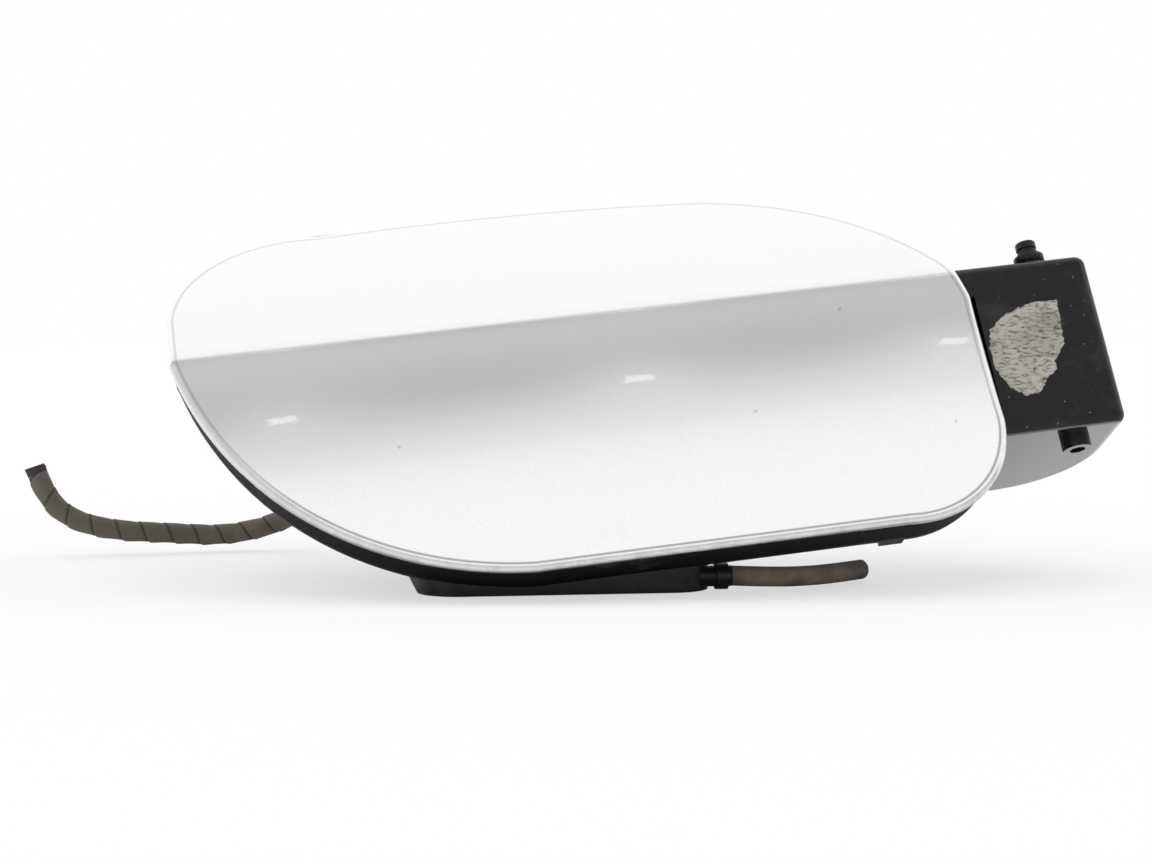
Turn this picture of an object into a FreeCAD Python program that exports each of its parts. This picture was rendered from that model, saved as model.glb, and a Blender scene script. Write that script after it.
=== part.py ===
import FreeCAD, Part
import math
import os

"""Fuel filler flap unit of a car body side, in millimetres.

Row frame: +Z is the axis of the filler neck, the unit stands on the floor of its well at z = 0, and the origin
is the centre of the neck hole. X points to the hinge side and Y to the inside of the car.

Flap frame: u runs along the shoulder crease, v runs up beside the hinge axis and n points out of the car. Its
origin is the middle of the crease.
"""

# Pose of the flap frame in the row frame
CREASE_X = 4.0
CREASE_Y = -18.0
CREASE_Z = 68.5
CREASE_ROLL = 6.37
HINGE_LEAN = 65.0

# Section of the flap across the crease
LOWER_RADIUS = 200.0
LOWER_START = -2.0
LOWER_END = 24.0
SHOULDER_RADIUS = 668.0
SHOULDER_START = -37.0
SHOULDER_END = -45.0

# Outline of the flap in u and v
FLAP_LEFT = -100.5
FLAP_RIGHT = 102.0
FLAP_BOTTOM = -69.0
FLAP_TOP = 49.0
BOTTOM_LINE_LEFT = -20.0
BOTTOM_CORNER_LENGTH = 31.0
BOTTOM_CORNER_RISE = 25.5
BOTTOM_CORNER_CUT_U = 7.8
BOTTOM_CORNER_CUT_V = 8.6
RIGHT_EDGE_TOP = -8.0
TOP_RIGHT_U = 40.0
TOP_RIGHT_DROP = 2.8
TOP_RIGHT_CUT_U = 16.0
TOP_RIGHT_CUT_V = 27.0
TOP_MIDDLE_U = -12.0
TOP_MIDDLE_RISE = 0.8
TOP_LEFT_U = -60.0
TOP_LEFT_DROP = 0.6
TOP_LEFT_CUT_U = 7.8
TOP_LEFT_CUT_V = 13.5
LEFT_EDGE_TOP = 14.0
LEFT_EDGE_OUT = 0.5
LEFT_EDGE_FOOT = -2.0
LEFT_SWEEP_CUT_U = 21.8
LEFT_SWEEP_CUT_V = 28.0
SKIN_WALL = 1.0
HEM_WIDTH = 6.0
HEM_WALL = 1.6

# Inner panel of the flap
PANEL_INSET = 7.0
PANEL_WALL = 2.0
PANEL_RIB_INSET = 13.0
PANEL_RIB_WALL = 2.2
PANEL_RIB_HEIGHT = 3.0
BOND_GAP = 0.1

# Pocket tray and rim
POCKET_WALL = 2.5
TRAY_INSET = 4.0
TRAY_DEPTH = 16.5
RIM_TOP_DEPTH = 3.6
SEAL_INSET = 0.8
SEAL_WALL = 3.0
SEAL_TOP_DEPTH = 3.2
SEAL_BOTTOM_DEPTH = 14.0
SEAL_END_GAP = 1.0
FLANGE_INSET = 1.2
FLANGE_WALL = 2.4
SEAT_GAP = 0.1
FLAP_CLEARANCE = 1.2

# Well round the filler neck
WELL_HALF_X = 36.0
WELL_FRONT_Y = -40.0
WELL_BACK_Y = 42.0
WELL_FRONT_CORNER = 10.0
WELL_BACK_CORNER = 16.0
NECK_HOLE_RADIUS = 25.0
GAITER_WALL = 3.0
GAITER_HEIGHT = 13.0
GAITER_LIP = 4.0
GAITER_LIP_WALL = 2.0
GAITER_SLOPE = 1.5
GAITER_CHAMFER = 1.0
BAND_WALL = 0.8
BAND_WIDTH = 4.0
BAND_TOP_GAP = 1.5

# Hinge box, its bosses and pin
HINGE_FROM_EDGE = 22.5
HINGE_U = FLAP_RIGHT + HINGE_FROM_EDGE
HINGE_N = -14.0
BOX_UNDER_FLAP = 11.0
BOX_LEFT = FLAP_RIGHT - BOX_UNDER_FLAP
BOX_PAST_HINGE = 11.5
BOX_RIGHT = HINGE_U + BOX_PAST_HINGE
BOX_TOP = 1.7
BOX_BOTTOM = -45.0
BOX_FACE_N = -4.0
BOX_EDGE_RADIUS = 3.0
BOX_CURVE_LENGTH = 24.0
BOX_CURVE_START_U = BOX_RIGHT - BOX_CURVE_LENGTH
BOX_SIDE_LENGTH = 22.0
BOX_CURVE_END_N = BOX_FACE_N - BOX_SIDE_LENGTH
BOX_CURVE_BULGE = 5.0
BOX_FACE_FILLET = 2.4
FACE_FROM_FLAP = 2.0
FACE_LEFT = FLAP_RIGHT + FACE_FROM_FLAP
BOSS_RADIUS = 3.75
TOP_BOSS_HEIGHT = 2.5
BOTTOM_BOSS_HEIGHT = 3.3
PIN_RADIUS = 2.0
PIN_HEAD_RADIUS = 2.7
PIN_HEAD_HEIGHT = 6.5
PIN_GROOVE = 0.5
PIN_GROOVE_HEIGHT = 3.6
PIN_FIT = 0.02
HINGE_RUNNING_GAP = 0.05

# Gooseneck arm
ARM_BOTTOM = -40.0
ARM_TOP = -9.0
ARM_EYE_RADIUS = 5.0
ARM_FACE_GAP = 4.0
ARM_HOOK_INNER = HINGE_U - FACE_LEFT + ARM_FACE_GAP
ARM_WALL = 4.0
ARM_FLOOR_GAP = 6.0
BOX_FLOOR_N = HINGE_N - ARM_HOOK_INNER - ARM_WALL - ARM_FLOOR_GAP - POCKET_WALL
ARM_HOOK_START = 172.0
ARM_HOOK_END = 262.0
ARM_PLATE_REACH = 42.0
ARM_PLATE_LEFT = FLAP_RIGHT - ARM_PLATE_REACH
ARM_PLATE_N = -3.5
ARM_PLATE_WALL = 3.0
ARM_SIDE_GAP = 2.0
ARM_SEAT_GAP = 1.0
ARM_SCREW_INSET = 7.0
ARM_SCREW_PITCH = 18.0
ARM_SCREW_RADIUS = 2.0
ARM_SCREW_HEAD_RADIUS = 3.8
ARM_SCREW_HEAD_HEIGHT = 2.4
ARM_SCREW_TIP_N = -1.6
SCREW_HOLE_GAP = 0.1

# Torsion spring of the hinge
SPRING_WIRE_RADIUS = 0.5
SPRING_COIL_RADIUS = 3.3
SPRING_PITCH = 1.3
SPRING_TURNS = 4
SPRING_START_V = -7.4
SPRING_NECK_SHARE = 0.3

# Rubber stops
BUFFER_RADIUS = 4.0
BUFFER_TOP_DEPTH = 3.5
BUFFER_PLACES = ((FLAP_LEFT + 22.5, 22.0), (48.0, -47.0))

# Lock actuator beside the well
LOCK_Y = 11.0
LOCK_Z = 35.0
LOCK_LENGTH = 25.0
LOCK_DEPTH = 30.0
LOCK_HEIGHT = 19.0
LOCK_WALL = 2.0
LOCK_COVER_WALL = 2.0
LOCK_EDGE_RADIUS = 2.0
LOCK_EAR_HEIGHT = 8.0
LOCK_EAR_WALL = 4.0
LOCK_SCREW_PITCH = 16.0
LOCK_MOUNT_GAP = 0.2
LOCK_SCREW_RADIUS = 1.5
LOCK_SCREW_HEAD_RADIUS = 3.0
LOCK_SCREW_HEAD_HEIGHT = 2.0
BOLT_RADIUS = 3.0
BOLT_LENGTH = 22.0
BOLT_GAP = 0.1
BOLT_TIP_INSET = 0.5
BOLT_TIP_CHAMFER = 1.0
COIL_OUTER_RADIUS = 6.5
COIL_INNER_RADIUS = 3.3
COIL_LENGTH = 11.0
COIL_FOOT_HALF = 5.2
RETURN_SPRING_WIRE = 0.4
RETURN_SPRING_RADIUS = 3.9
RETURN_SPRING_PITCH = 1.4
RETURN_SPRING_TURNS = 4
GROMMET_RADIUS = 5.0
GROMMET_FLANGE_RADIUS = 6.5
GROMMET_FLANGE_WALL = 1.2

# Striker and cap holder on the inner panel
STRIKER_X = -28.0
STRIKER_WALL = 3.0
STRIKER_WIDTH = 13.0
STRIKER_EYE_HALF = 4.5
STRIKER_TIP = 7.0
STRIKER_FOOT = 18.0
STRIKER_FOOT_WALL = 2.0
HOLDER_U = 12.0
HOLDER_V = -30.0
HOLDER_WIDTH = 14.0
HOLDER_WALL = 2.5
HOLDER_HEIGHT = 15.0
HOLDER_NOSE = 9.0

# Wiring harness and its plug
HARNESS_RADIUS = 2.6
HARNESS_ROUTE = (
    (-51.5, 37.0, 30.0),
    (-53.0, 51.0, 23.0),
    (-59.0, 62.0, 13.5),
    (-70.0, 67.5, 7.2),
    (-84.0, 67.0, 4.3),
    (-99.0, 64.0, 5.6),
    (-113.0, 62.0, 6.6),
    (-125.0, 61.0, 9.4),
    (-133.0, 61.0, 16.0),
    (-136.0, 61.5, 25.0),
)
PLUG_WIDTH = 13.0
PLUG_HEIGHT = 9.0
PLUG_NECK_RADIUS = 3.6
PLUG_NECK_LENGTH = 4.0

# Drain hose and its spigot at the front corner of the well
HOSE_RADIUS = 2.5
SPIGOT_INNER_X = 31.5
SPIGOT_RADIUS = 2.6
SPIGOT_BORE = 1.6
CLIP_WALL = 0.6
CLIP_WIDTH = 3.0
CLIP_GAP = 0.1
CLIP_END_GAP = 1.0
HOSE_ROUTE = (
    (41.0, -35.0, 3.4),
    (50.0, -35.6, 3.0),
    (59.6, -33.4, 2.7),
    (69.3, -28.3, 2.7),
    (77.6, -21.6, 2.7),
)

# Snap tabs on the underside of the rim flange, by their place along u
TAB_PLACES = (67.0,)
TAB_LENGTH = 6.0
TAB_HEIGHT = 3.0

# Reach of the helper solids past the object, and the tolerance by which edges are picked
REACH = 200.0
FRONT = 40.0
OVERCUT = 1.0
PICK = 0.01
ARC_MIDDLE = 1.0 - math.sqrt(0.5)
CORD_SETBACK = 0.45

PARTS_FOLDER = "parts"


def flap_placement():
    """Placement that carries the flap frame into the row frame."""
    roll = math.radians(CREASE_ROLL)
    lean = math.radians(HINGE_LEAN)
    along = (math.cos(roll), 0.0, math.sin(roll))
    upward = (-math.sin(roll) * math.sin(lean), math.cos(lean), math.cos(roll) * math.sin(lean))
    outward = (-math.sin(roll) * math.cos(lean), -math.sin(lean), math.cos(roll) * math.cos(lean))
    matrix = FreeCAD.Matrix(
        along[0], upward[0], outward[0], CREASE_X,
        along[1], upward[1], outward[1], CREASE_Y,
        along[2], upward[2], outward[2], CREASE_Z,
        0.0, 0.0, 0.0, 1.0,
    )
    return FreeCAD.Placement(matrix)


FLAP_PLACE = flap_placement()


def in_row(shape):
    """Copy of a shape made in the flap frame, carried into the row frame."""
    placed = shape.copy()
    placed.Placement = FLAP_PLACE.multiply(placed.Placement)
    return placed


def vec(x, y, z):
    return FreeCAD.Vector(x, y, z)


def block(low, high):
    """Box between two corners."""
    size = [top - bottom for bottom, top in zip(low, high)]
    return Part.makeBox(size[0], size[1], size[2], vec(*low))


def rod(start, axis, radius, length):
    """Cylinder from a start point along an axis."""
    return Part.makeCylinder(radius, length, vec(*start), vec(*axis))


def tube(start, axis, outer, inner, length):
    """Hollow cylinder from a start point along an axis."""
    return rod(start, axis, outer, length).cut(rod(start, axis, inner, length))


def fuse_all(shapes):
    """One solid of several that overlap."""
    joined = shapes[0]
    for shape in shapes[1:]:
        joined = joined.fuse(shape)
    return joined.removeSplitter()


def line(start, end):
    return Part.LineSegment(start, end).toShape()


def arc(start, middle, end):
    return Part.Arc(start, middle, end).toShape()


def polygon_face(points):
    """Flat face with straight edges through the points."""
    return Part.Face(Part.makePolygon(list(points) + [points[0]]))


# Section of the flap: two arcs that meet at the crease

def lower_centre():
    """Centre of the hollow arc under the crease, as v and n."""
    angle = math.radians(LOWER_START)
    return LOWER_RADIUS * math.sin(angle), LOWER_RADIUS * math.cos(angle)


def shoulder_centre():
    """Centre of the round arc above the crease, as v and n."""
    angle = math.radians(SHOULDER_START)
    return SHOULDER_RADIUS * math.sin(angle), -SHOULDER_RADIUS * math.cos(angle)


def lower_point(angle, depth):
    """Point of the lower arc, moved inwards by depth, at an angle in degrees."""
    v, n = lower_centre()
    radius = LOWER_RADIUS + depth
    turn = math.radians(angle)
    return vec(-REACH, v - radius * math.sin(turn), n - radius * math.cos(turn))


def shoulder_point(angle, depth):
    """Point of the shoulder arc, moved inwards by depth, at an angle in degrees."""
    v, n = shoulder_centre()
    radius = SHOULDER_RADIUS - depth
    turn = math.radians(angle)
    return vec(-REACH, v - radius * math.sin(turn), n + radius * math.cos(turn))


def crease_angles(depth):
    """Angles on the lower and shoulder arcs at which the two, moved inwards by depth, meet."""
    lower = lower_centre()
    shoulder = shoulder_centre()
    lower_radius = LOWER_RADIUS + depth
    shoulder_radius = SHOULDER_RADIUS - depth
    across = (shoulder[0] - lower[0], shoulder[1] - lower[1])
    distance = math.hypot(*across)
    along = (distance ** 2 + lower_radius ** 2 - shoulder_radius ** 2) / (2.0 * distance)
    side = math.sqrt(lower_radius ** 2 - along ** 2)
    unit = (across[0] / distance, across[1] / distance)
    meet = (
        lower[0] + along * unit[0] - side * unit[1],
        lower[1] + along * unit[1] + side * unit[0],
    )
    lower_angle = math.degrees(math.atan2(lower[0] - meet[0], lower[1] - meet[1]))
    shoulder_angle = math.degrees(math.atan2(shoulder[0] - meet[0], meet[1] - shoulder[1]))
    return lower_angle, shoulder_angle


def behind(depth):
    """Everything that lies behind the flap's outer surface by at least depth."""
    lower_meet, shoulder_meet = crease_angles(depth)
    foot = lower_point(LOWER_END, depth)
    crease = lower_point(lower_meet, depth)
    head = shoulder_point(SHOULDER_END, depth)
    low_corner = vec(-REACH, foot.y, -REACH)
    high_corner = vec(-REACH, head.y, -REACH)
    edges = [
        arc(foot, lower_point((LOWER_END + lower_meet) / 2.0, depth), crease),
        arc(crease, shoulder_point((SHOULDER_END + shoulder_meet) / 2.0, depth), head),
        line(head, high_corner),
        line(high_corner, low_corner),
        line(low_corner, foot),
    ]
    return Part.Face(Part.Wire(edges)).extrude(vec(2.0 * REACH, 0.0, 0.0))


def layer(top_depth, bottom_depth):
    """Curved layer between two depths behind the flap's outer surface."""
    return behind(top_depth).cut(behind(bottom_depth))


# Outline of the flap

def outline_face(inset):
    """Outline of the flap in u and v, drawn in by inset."""
    start = vec(BOTTOM_LINE_LEFT, FLAP_BOTTOM, 0.0)
    foot_right = vec(FLAP_RIGHT - BOTTOM_CORNER_LENGTH, FLAP_BOTTOM, 0.0)
    foot_corner = vec(FLAP_RIGHT - BOTTOM_CORNER_CUT_U, FLAP_BOTTOM + BOTTOM_CORNER_CUT_V, 0.0)
    corner_top = vec(FLAP_RIGHT, FLAP_BOTTOM + BOTTOM_CORNER_RISE, 0.0)
    edge_top = vec(FLAP_RIGHT, RIGHT_EDGE_TOP, 0.0)
    head_corner = vec(FLAP_RIGHT - TOP_RIGHT_CUT_U, FLAP_TOP - TOP_RIGHT_CUT_V, 0.0)
    top_right = vec(TOP_RIGHT_U, FLAP_TOP - TOP_RIGHT_DROP, 0.0)
    top_middle = vec(TOP_MIDDLE_U, FLAP_TOP + TOP_MIDDLE_RISE, 0.0)
    top_left = vec(TOP_LEFT_U, FLAP_TOP - TOP_LEFT_DROP, 0.0)
    left_corner = vec(FLAP_LEFT + TOP_LEFT_CUT_U, FLAP_TOP - TOP_LEFT_CUT_V, 0.0)
    left_top = vec(FLAP_LEFT - LEFT_EDGE_OUT, LEFT_EDGE_TOP, 0.0)
    left_foot = vec(FLAP_LEFT, LEFT_EDGE_FOOT, 0.0)
    left_sweep = vec(FLAP_LEFT + LEFT_SWEEP_CUT_U, FLAP_BOTTOM + LEFT_SWEEP_CUT_V, 0.0)
    edges = [
        line(start, foot_right),
        arc(foot_right, foot_corner, corner_top),
        line(corner_top, edge_top),
        arc(edge_top, head_corner, top_right),
        arc(top_right, top_middle, top_left),
        arc(top_left, left_corner, left_top),
        line(left_top, left_foot),
        arc(left_foot, left_sweep, start),
    ]
    face = Part.Face(Part.Wire(edges))
    if inset:
        face = face.makeOffset2D(-inset)
    return face


def column(inset):
    """Prism over the outline, drawn in by inset, from far behind the flap to far in front."""
    face = outline_face(inset)
    face.translate(vec(0.0, 0.0, -REACH))
    return face.extrude(vec(0.0, 0.0, REACH + FRONT))


def rim(outer_inset, inner_inset, top_depth, bottom_depth):
    """Wall that follows the outline between two insets and two depths."""
    wall = layer(top_depth, bottom_depth).common(column(outer_inset))
    return wall.cut(column(inner_inset))


# Flap

def flap_skin():
    skin = layer(0.0, SKIN_WALL).common(column(0.0))
    hem = rim(0.0, HEM_WIDTH, SKIN_WALL, SKIN_WALL + HEM_WALL)
    return in_row(fuse_all([skin, hem]))


PANEL_FRONT_DEPTH = SKIN_WALL + BOND_GAP
PANEL_BACK_DEPTH = PANEL_FRONT_DEPTH + PANEL_WALL


def arm_screw_places():
    """Places of the arm's screws in u and v."""
    near = ARM_PLATE_LEFT + ARM_SCREW_INSET
    far = near + ARM_SCREW_PITCH
    return (
        (near, ARM_TOP - ARM_SCREW_INSET),
        (near, ARM_BOTTOM + ARM_SCREW_INSET),
        (far, (ARM_TOP + ARM_BOTTOM) / 2.0),
    )


def flap_panel():
    """Inner panel with a rib frame, a flat seat for the arm and its screw holes."""
    sheet = layer(PANEL_FRONT_DEPTH, PANEL_BACK_DEPTH).common(column(PANEL_INSET))
    frame = rim(
        PANEL_RIB_INSET,
        PANEL_RIB_INSET + PANEL_RIB_WALL,
        PANEL_BACK_DEPTH - PANEL_WALL / 2.0,
        PANEL_BACK_DEPTH + PANEL_RIB_HEIGHT,
    )
    seat_n = ARM_PLATE_N + SEAT_GAP
    seat = block(
        (ARM_PLATE_LEFT, ARM_BOTTOM, seat_n),
        (FLAP_RIGHT - PANEL_INSET - OVERCUT, ARM_TOP, FRONT),
    ).common(behind(PANEL_FRONT_DEPTH))
    room = block(
        (ARM_PLATE_LEFT - ARM_SEAT_GAP, ARM_BOTTOM - ARM_SEAT_GAP, -FRONT),
        (FLAP_RIGHT, ARM_TOP + ARM_SEAT_GAP, seat_n),
    )
    panel = fuse_all([sheet, frame.cut(room), seat])
    for u, v in arm_screw_places():
        hole = rod((u, v, ARM_SCREW_TIP_N + SEAT_GAP), (0, 0, -1), ARM_SCREW_RADIUS + SCREW_HOLE_GAP, FRONT)
        panel = panel.cut(hole)
    return in_row(panel)


def hinge_arm():
    """Gooseneck arm: an eye on the pin, a leg, a round hook past the box face and a plate on the panel."""
    hook_outer = ARM_HOOK_INNER + ARM_WALL
    hook_middle = ARM_HOOK_INNER + ARM_WALL / 2.0

    def polar(radius, angle):
        turn = math.radians(angle)
        return vec(HINGE_U + radius * math.cos(turn), ARM_BOTTOM, HINGE_N + radius * math.sin(turn))

    middle = (ARM_HOOK_START + ARM_HOOK_END) / 2.0
    hook_edges = [
        arc(polar(hook_outer, ARM_HOOK_START), polar(hook_outer, middle), polar(hook_outer, ARM_HOOK_END)),
        line(polar(hook_outer, ARM_HOOK_END), polar(ARM_HOOK_INNER, ARM_HOOK_END)),
        arc(
            polar(ARM_HOOK_INNER, ARM_HOOK_END),
            polar(ARM_HOOK_INNER, middle),
            polar(ARM_HOOK_INNER, ARM_HOOK_START),
        ),
        line(polar(ARM_HOOK_INNER, ARM_HOOK_START), polar(hook_outer, ARM_HOOK_START)),
    ]
    hook = Part.Face(Part.Wire(hook_edges))
    leg_side = math.degrees(ARM_WALL / 2.0 / hook_middle)
    leg_angle = ARM_HOOK_END - leg_side
    across = math.radians(leg_angle + 90.0)
    half = vec(math.cos(across) * ARM_WALL / 2.0, 0.0, math.sin(across) * ARM_WALL / 2.0)
    centre = polar(0.0, 0.0)
    leg_end = polar(hook_middle, leg_angle)
    leg = polygon_face([centre + half, leg_end + half, leg_end - half, centre - half])
    plate_end = polar(hook_middle, ARM_HOOK_START)
    plate_right = plate_end.x + ARM_WALL / 2.0
    plate_back = ARM_PLATE_N - ARM_PLATE_WALL
    stem = polygon_face([
        vec(plate_right - ARM_WALL, ARM_BOTTOM, plate_end.z - OVERCUT),
        vec(plate_right, ARM_BOTTOM, plate_end.z - OVERCUT),
        vec(plate_right, ARM_BOTTOM, ARM_PLATE_N),
        vec(plate_right - ARM_WALL, ARM_BOTTOM, ARM_PLATE_N),
    ])
    plate = polygon_face([
        vec(ARM_PLATE_LEFT, ARM_BOTTOM, plate_back),
        vec(plate_right, ARM_BOTTOM, plate_back),
        vec(plate_right, ARM_BOTTOM, ARM_PLATE_N),
        vec(ARM_PLATE_LEFT, ARM_BOTTOM, ARM_PLATE_N),
    ])
    run = vec(0.0, ARM_TOP - ARM_BOTTOM, 0.0)
    eye = rod((HINGE_U, ARM_BOTTOM, HINGE_N), (0, 1, 0), ARM_EYE_RADIUS, ARM_TOP - ARM_BOTTOM)
    arm = fuse_all([face.extrude(run) for face in (hook, leg, stem, plate)] + [eye])
    bore = rod((HINGE_U, ARM_BOTTOM, HINGE_N), (0, 1, 0), PIN_RADIUS + HINGE_RUNNING_GAP, ARM_TOP - ARM_BOTTOM)
    arm = arm.cut(bore)
    for u, v in arm_screw_places():
        arm = arm.cut(rod((u, v, -FRONT), (0, 0, 1), ARM_SCREW_RADIUS + SCREW_HOLE_GAP, 2.0 * FRONT))
    return in_row(arm)


def arm_screws():
    """Pan-head screws from behind the arm's plate into the panel's seat."""
    screws = []
    plate_back = ARM_PLATE_N - ARM_PLATE_WALL
    for u, v in arm_screw_places():
        shank = rod((u, v, plate_back), (0, 0, 1), ARM_SCREW_RADIUS, ARM_SCREW_TIP_N - plate_back)
        head = rod((u, v, plate_back), (0, 0, -1), ARM_SCREW_HEAD_RADIUS, ARM_SCREW_HEAD_HEIGHT)
        head = head.makeFillet(ARM_SCREW_HEAD_HEIGHT / 3.0, [
            edge for edge in head.Edges if edge.CenterOfMass.z < plate_back - ARM_SCREW_HEAD_HEIGHT + PICK
            and edge.Closed
        ])
        screws.append(shank.fuse(head).removeSplitter())
    return in_row(Part.makeCompound(screws))


def lock_striker():
    """Plate with an eye, hung from a foot on the inner panel into the well."""
    half = STRIKER_WIDTH / 2.0
    plate = block(
        (STRIKER_X, LOCK_Y - half, LOCK_Z - STRIKER_TIP),
        (STRIKER_X + STRIKER_WALL, LOCK_Y + half, REACH / 2.0),
    )
    foot = block(
        (STRIKER_X + STRIKER_WALL / 2.0 - STRIKER_FOOT / 2.0, LOCK_Y - STRIKER_FOOT / 2.0, LOCK_Z),
        (STRIKER_X + STRIKER_WALL / 2.0 + STRIKER_FOOT / 2.0, LOCK_Y + STRIKER_FOOT / 2.0, REACH / 2.0),
    )
    seat_depth = PANEL_BACK_DEPTH + SEAT_GAP
    foot = foot.common(in_row(layer(seat_depth, seat_depth + STRIKER_FOOT_WALL)))
    plate = plate.common(in_row(behind(seat_depth)))
    eye = block(
        (STRIKER_X - OVERCUT, LOCK_Y - STRIKER_EYE_HALF, LOCK_Z - STRIKER_EYE_HALF),
        (STRIKER_X + STRIKER_WALL + OVERCUT, LOCK_Y + STRIKER_EYE_HALF, LOCK_Z + STRIKER_EYE_HALF),
    )
    return fuse_all([plate, foot]).cut(eye)


def cap_holder():
    """J-shaped hook on the inner panel that holds the filler cap while the tank is filled."""
    half = HOLDER_WIDTH / 2.0
    seat_depth = PANEL_BACK_DEPTH + SEAT_GAP
    base = block((HOLDER_U - half, HOLDER_V - half, -FRONT), (HOLDER_U + half, HOLDER_V + half, FRONT))
    base = base.common(layer(seat_depth, seat_depth + HOLDER_WALL))
    stem = block(
        (HOLDER_U - half, HOLDER_V - half, -HOLDER_HEIGHT),
        (HOLDER_U + half, HOLDER_V - half + HOLDER_WALL, FRONT),
    ).common(behind(seat_depth))
    nose = block(
        (HOLDER_U - half, HOLDER_V - half, -HOLDER_HEIGHT - HOLDER_WALL),
        (HOLDER_U + half, HOLDER_V - half + HOLDER_NOSE, -HOLDER_HEIGHT),
    )
    return in_row(fuse_all([base, stem, nose]))


# Pocket

def well_face(inset, height):
    """Rounded footprint of the well, drawn in by inset, at a height."""
    half = WELL_HALF_X - inset
    front = WELL_FRONT_Y + inset
    back = WELL_BACK_Y - inset
    near = WELL_FRONT_CORNER - inset
    far = WELL_BACK_CORNER - inset
    near_in = near * ARC_MIDDLE
    far_in = far * ARC_MIDDLE
    edges = [
        line(vec(-half + near, front, height), vec(half - near, front, height)),
        arc(vec(half - near, front, height), vec(half - near_in, front + near_in, height),
            vec(half, front + near, height)),
        line(vec(half, front + near, height), vec(half, back - far, height)),
        arc(vec(half, back - far, height), vec(half - far_in, back - far_in, height),
            vec(half - far, back, height)),
        line(vec(half - far, back, height), vec(-half + far, back, height)),
        arc(vec(-half + far, back, height), vec(-half + far_in, back - far_in, height),
            vec(-half, back - far, height)),
        line(vec(-half, back - far, height), vec(-half, front + near, height)),
        arc(vec(-half, front + near, height), vec(-half + near_in, front + near_in, height),
            vec(-half + near, front, height)),
    ]
    return Part.Face(Part.Wire(edges))


def box_profile(inset, left, face_n):
    """Profile of the hinge box across the pin: flat face, straight side and a round underside."""
    right = BOX_RIGHT - inset
    floor = BOX_FLOOR_N + inset
    edge = BOX_EDGE_RADIUS
    edge_in = edge * ARC_MIDDLE
    bend = vec(
        (BOX_CURVE_START_U + right) / 2.0 + BOX_CURVE_BULGE,
        BOX_BOTTOM,
        (BOX_CURVE_END_N + floor) / 2.0 - BOX_CURVE_BULGE,
    )
    corner = [
        vec(left, BOX_BOTTOM, face_n),
        vec(left, BOX_BOTTOM, floor),
        vec(BOX_CURVE_START_U, BOX_BOTTOM, floor),
        vec(right, BOX_BOTTOM, BOX_CURVE_END_N),
        vec(right, BOX_BOTTOM, face_n - edge),
        vec(right - edge, BOX_BOTTOM, face_n),
    ]
    edges = [
        line(corner[0], corner[1]),
        line(corner[1], corner[2]),
        arc(corner[2], bend, corner[3]),
        line(corner[3], corner[4]),
        arc(corner[4], vec(right - edge_in, BOX_BOTTOM, face_n - edge_in), corner[5]),
        line(corner[5], corner[0]),
    ]
    return Part.Face(Part.Wire(edges))


def hinge_box_outer():
    """Outer form of the hinge box, with rounded ends of its face, and the two bosses of the pin."""
    body = box_profile(0.0, BOX_LEFT, BOX_FACE_N).extrude(vec(0.0, BOX_TOP - BOX_BOTTOM, 0.0))
    face_ends = [
        edge for edge in body.Edges
        if abs(edge.CenterOfMass.z - BOX_FACE_N) < PICK
        and edge.BoundBox.YLength < PICK
        and edge.BoundBox.XLength > BOX_EDGE_RADIUS * 2.0
    ]
    body = body.makeFillet(BOX_FACE_FILLET, face_ends)
    top = rod((HINGE_U, BOX_TOP - OVERCUT, HINGE_N), (0, 1, 0), BOSS_RADIUS, TOP_BOSS_HEIGHT + OVERCUT)
    bottom = rod((HINGE_U, BOX_BOTTOM + OVERCUT, HINGE_N), (0, -1, 0), BOSS_RADIUS, BOTTOM_BOSS_HEIGHT + OVERCUT)
    return fuse_all([body, top, bottom])


def hinge_box_inner():
    """Room inside the hinge box."""
    room = box_profile(POCKET_WALL, BOX_LEFT + POCKET_WALL, BOX_FACE_N - POCKET_WALL)
    room.translate(vec(0.0, POCKET_WALL, 0.0))
    return room.extrude(vec(0.0, BOX_TOP - BOX_BOTTOM - 2.0 * POCKET_WALL, 0.0))


def arm_slot():
    """Slot beside the box face through which the arm swings out."""
    return block(
        (BOX_LEFT + POCKET_WALL, ARM_BOTTOM - ARM_SIDE_GAP, BOX_FLOOR_N + POCKET_WALL),
        (FACE_LEFT, ARM_TOP + ARM_SIDE_GAP, FRONT),
    )


def flap_room():
    """Room that the closed flap takes up, with its clearance."""
    return column(-FLAP_CLEARANCE).cut(behind(RIM_TOP_DEPTH))


def snap_tabs():
    """Small snap tabs under the lower flange."""
    tabs = []
    depth = SEAL_BOTTOM_DEPTH + SEAT_GAP + FLANGE_WALL
    low = FLAP_BOTTOM + FLANGE_INSET
    for u in TAB_PLACES:
        tab = block((u, low, -FRONT), (u + TAB_LENGTH, low + TAB_HEIGHT, FRONT))
        tabs.append(tab.common(layer(depth - FLANGE_WALL / 2.0, depth + TAB_HEIGHT)))
    return tabs


def lock_screw_places():
    """Places of the actuator's screws in y and z, in the ears under its case."""
    height = LOCK_Z - (LOCK_HEIGHT + LOCK_EAR_HEIGHT) / 2.0
    return (
        (LOCK_Y - LOCK_SCREW_PITCH / 2.0, height),
        (LOCK_Y + LOCK_SCREW_PITCH / 2.0, height),
    )


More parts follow.
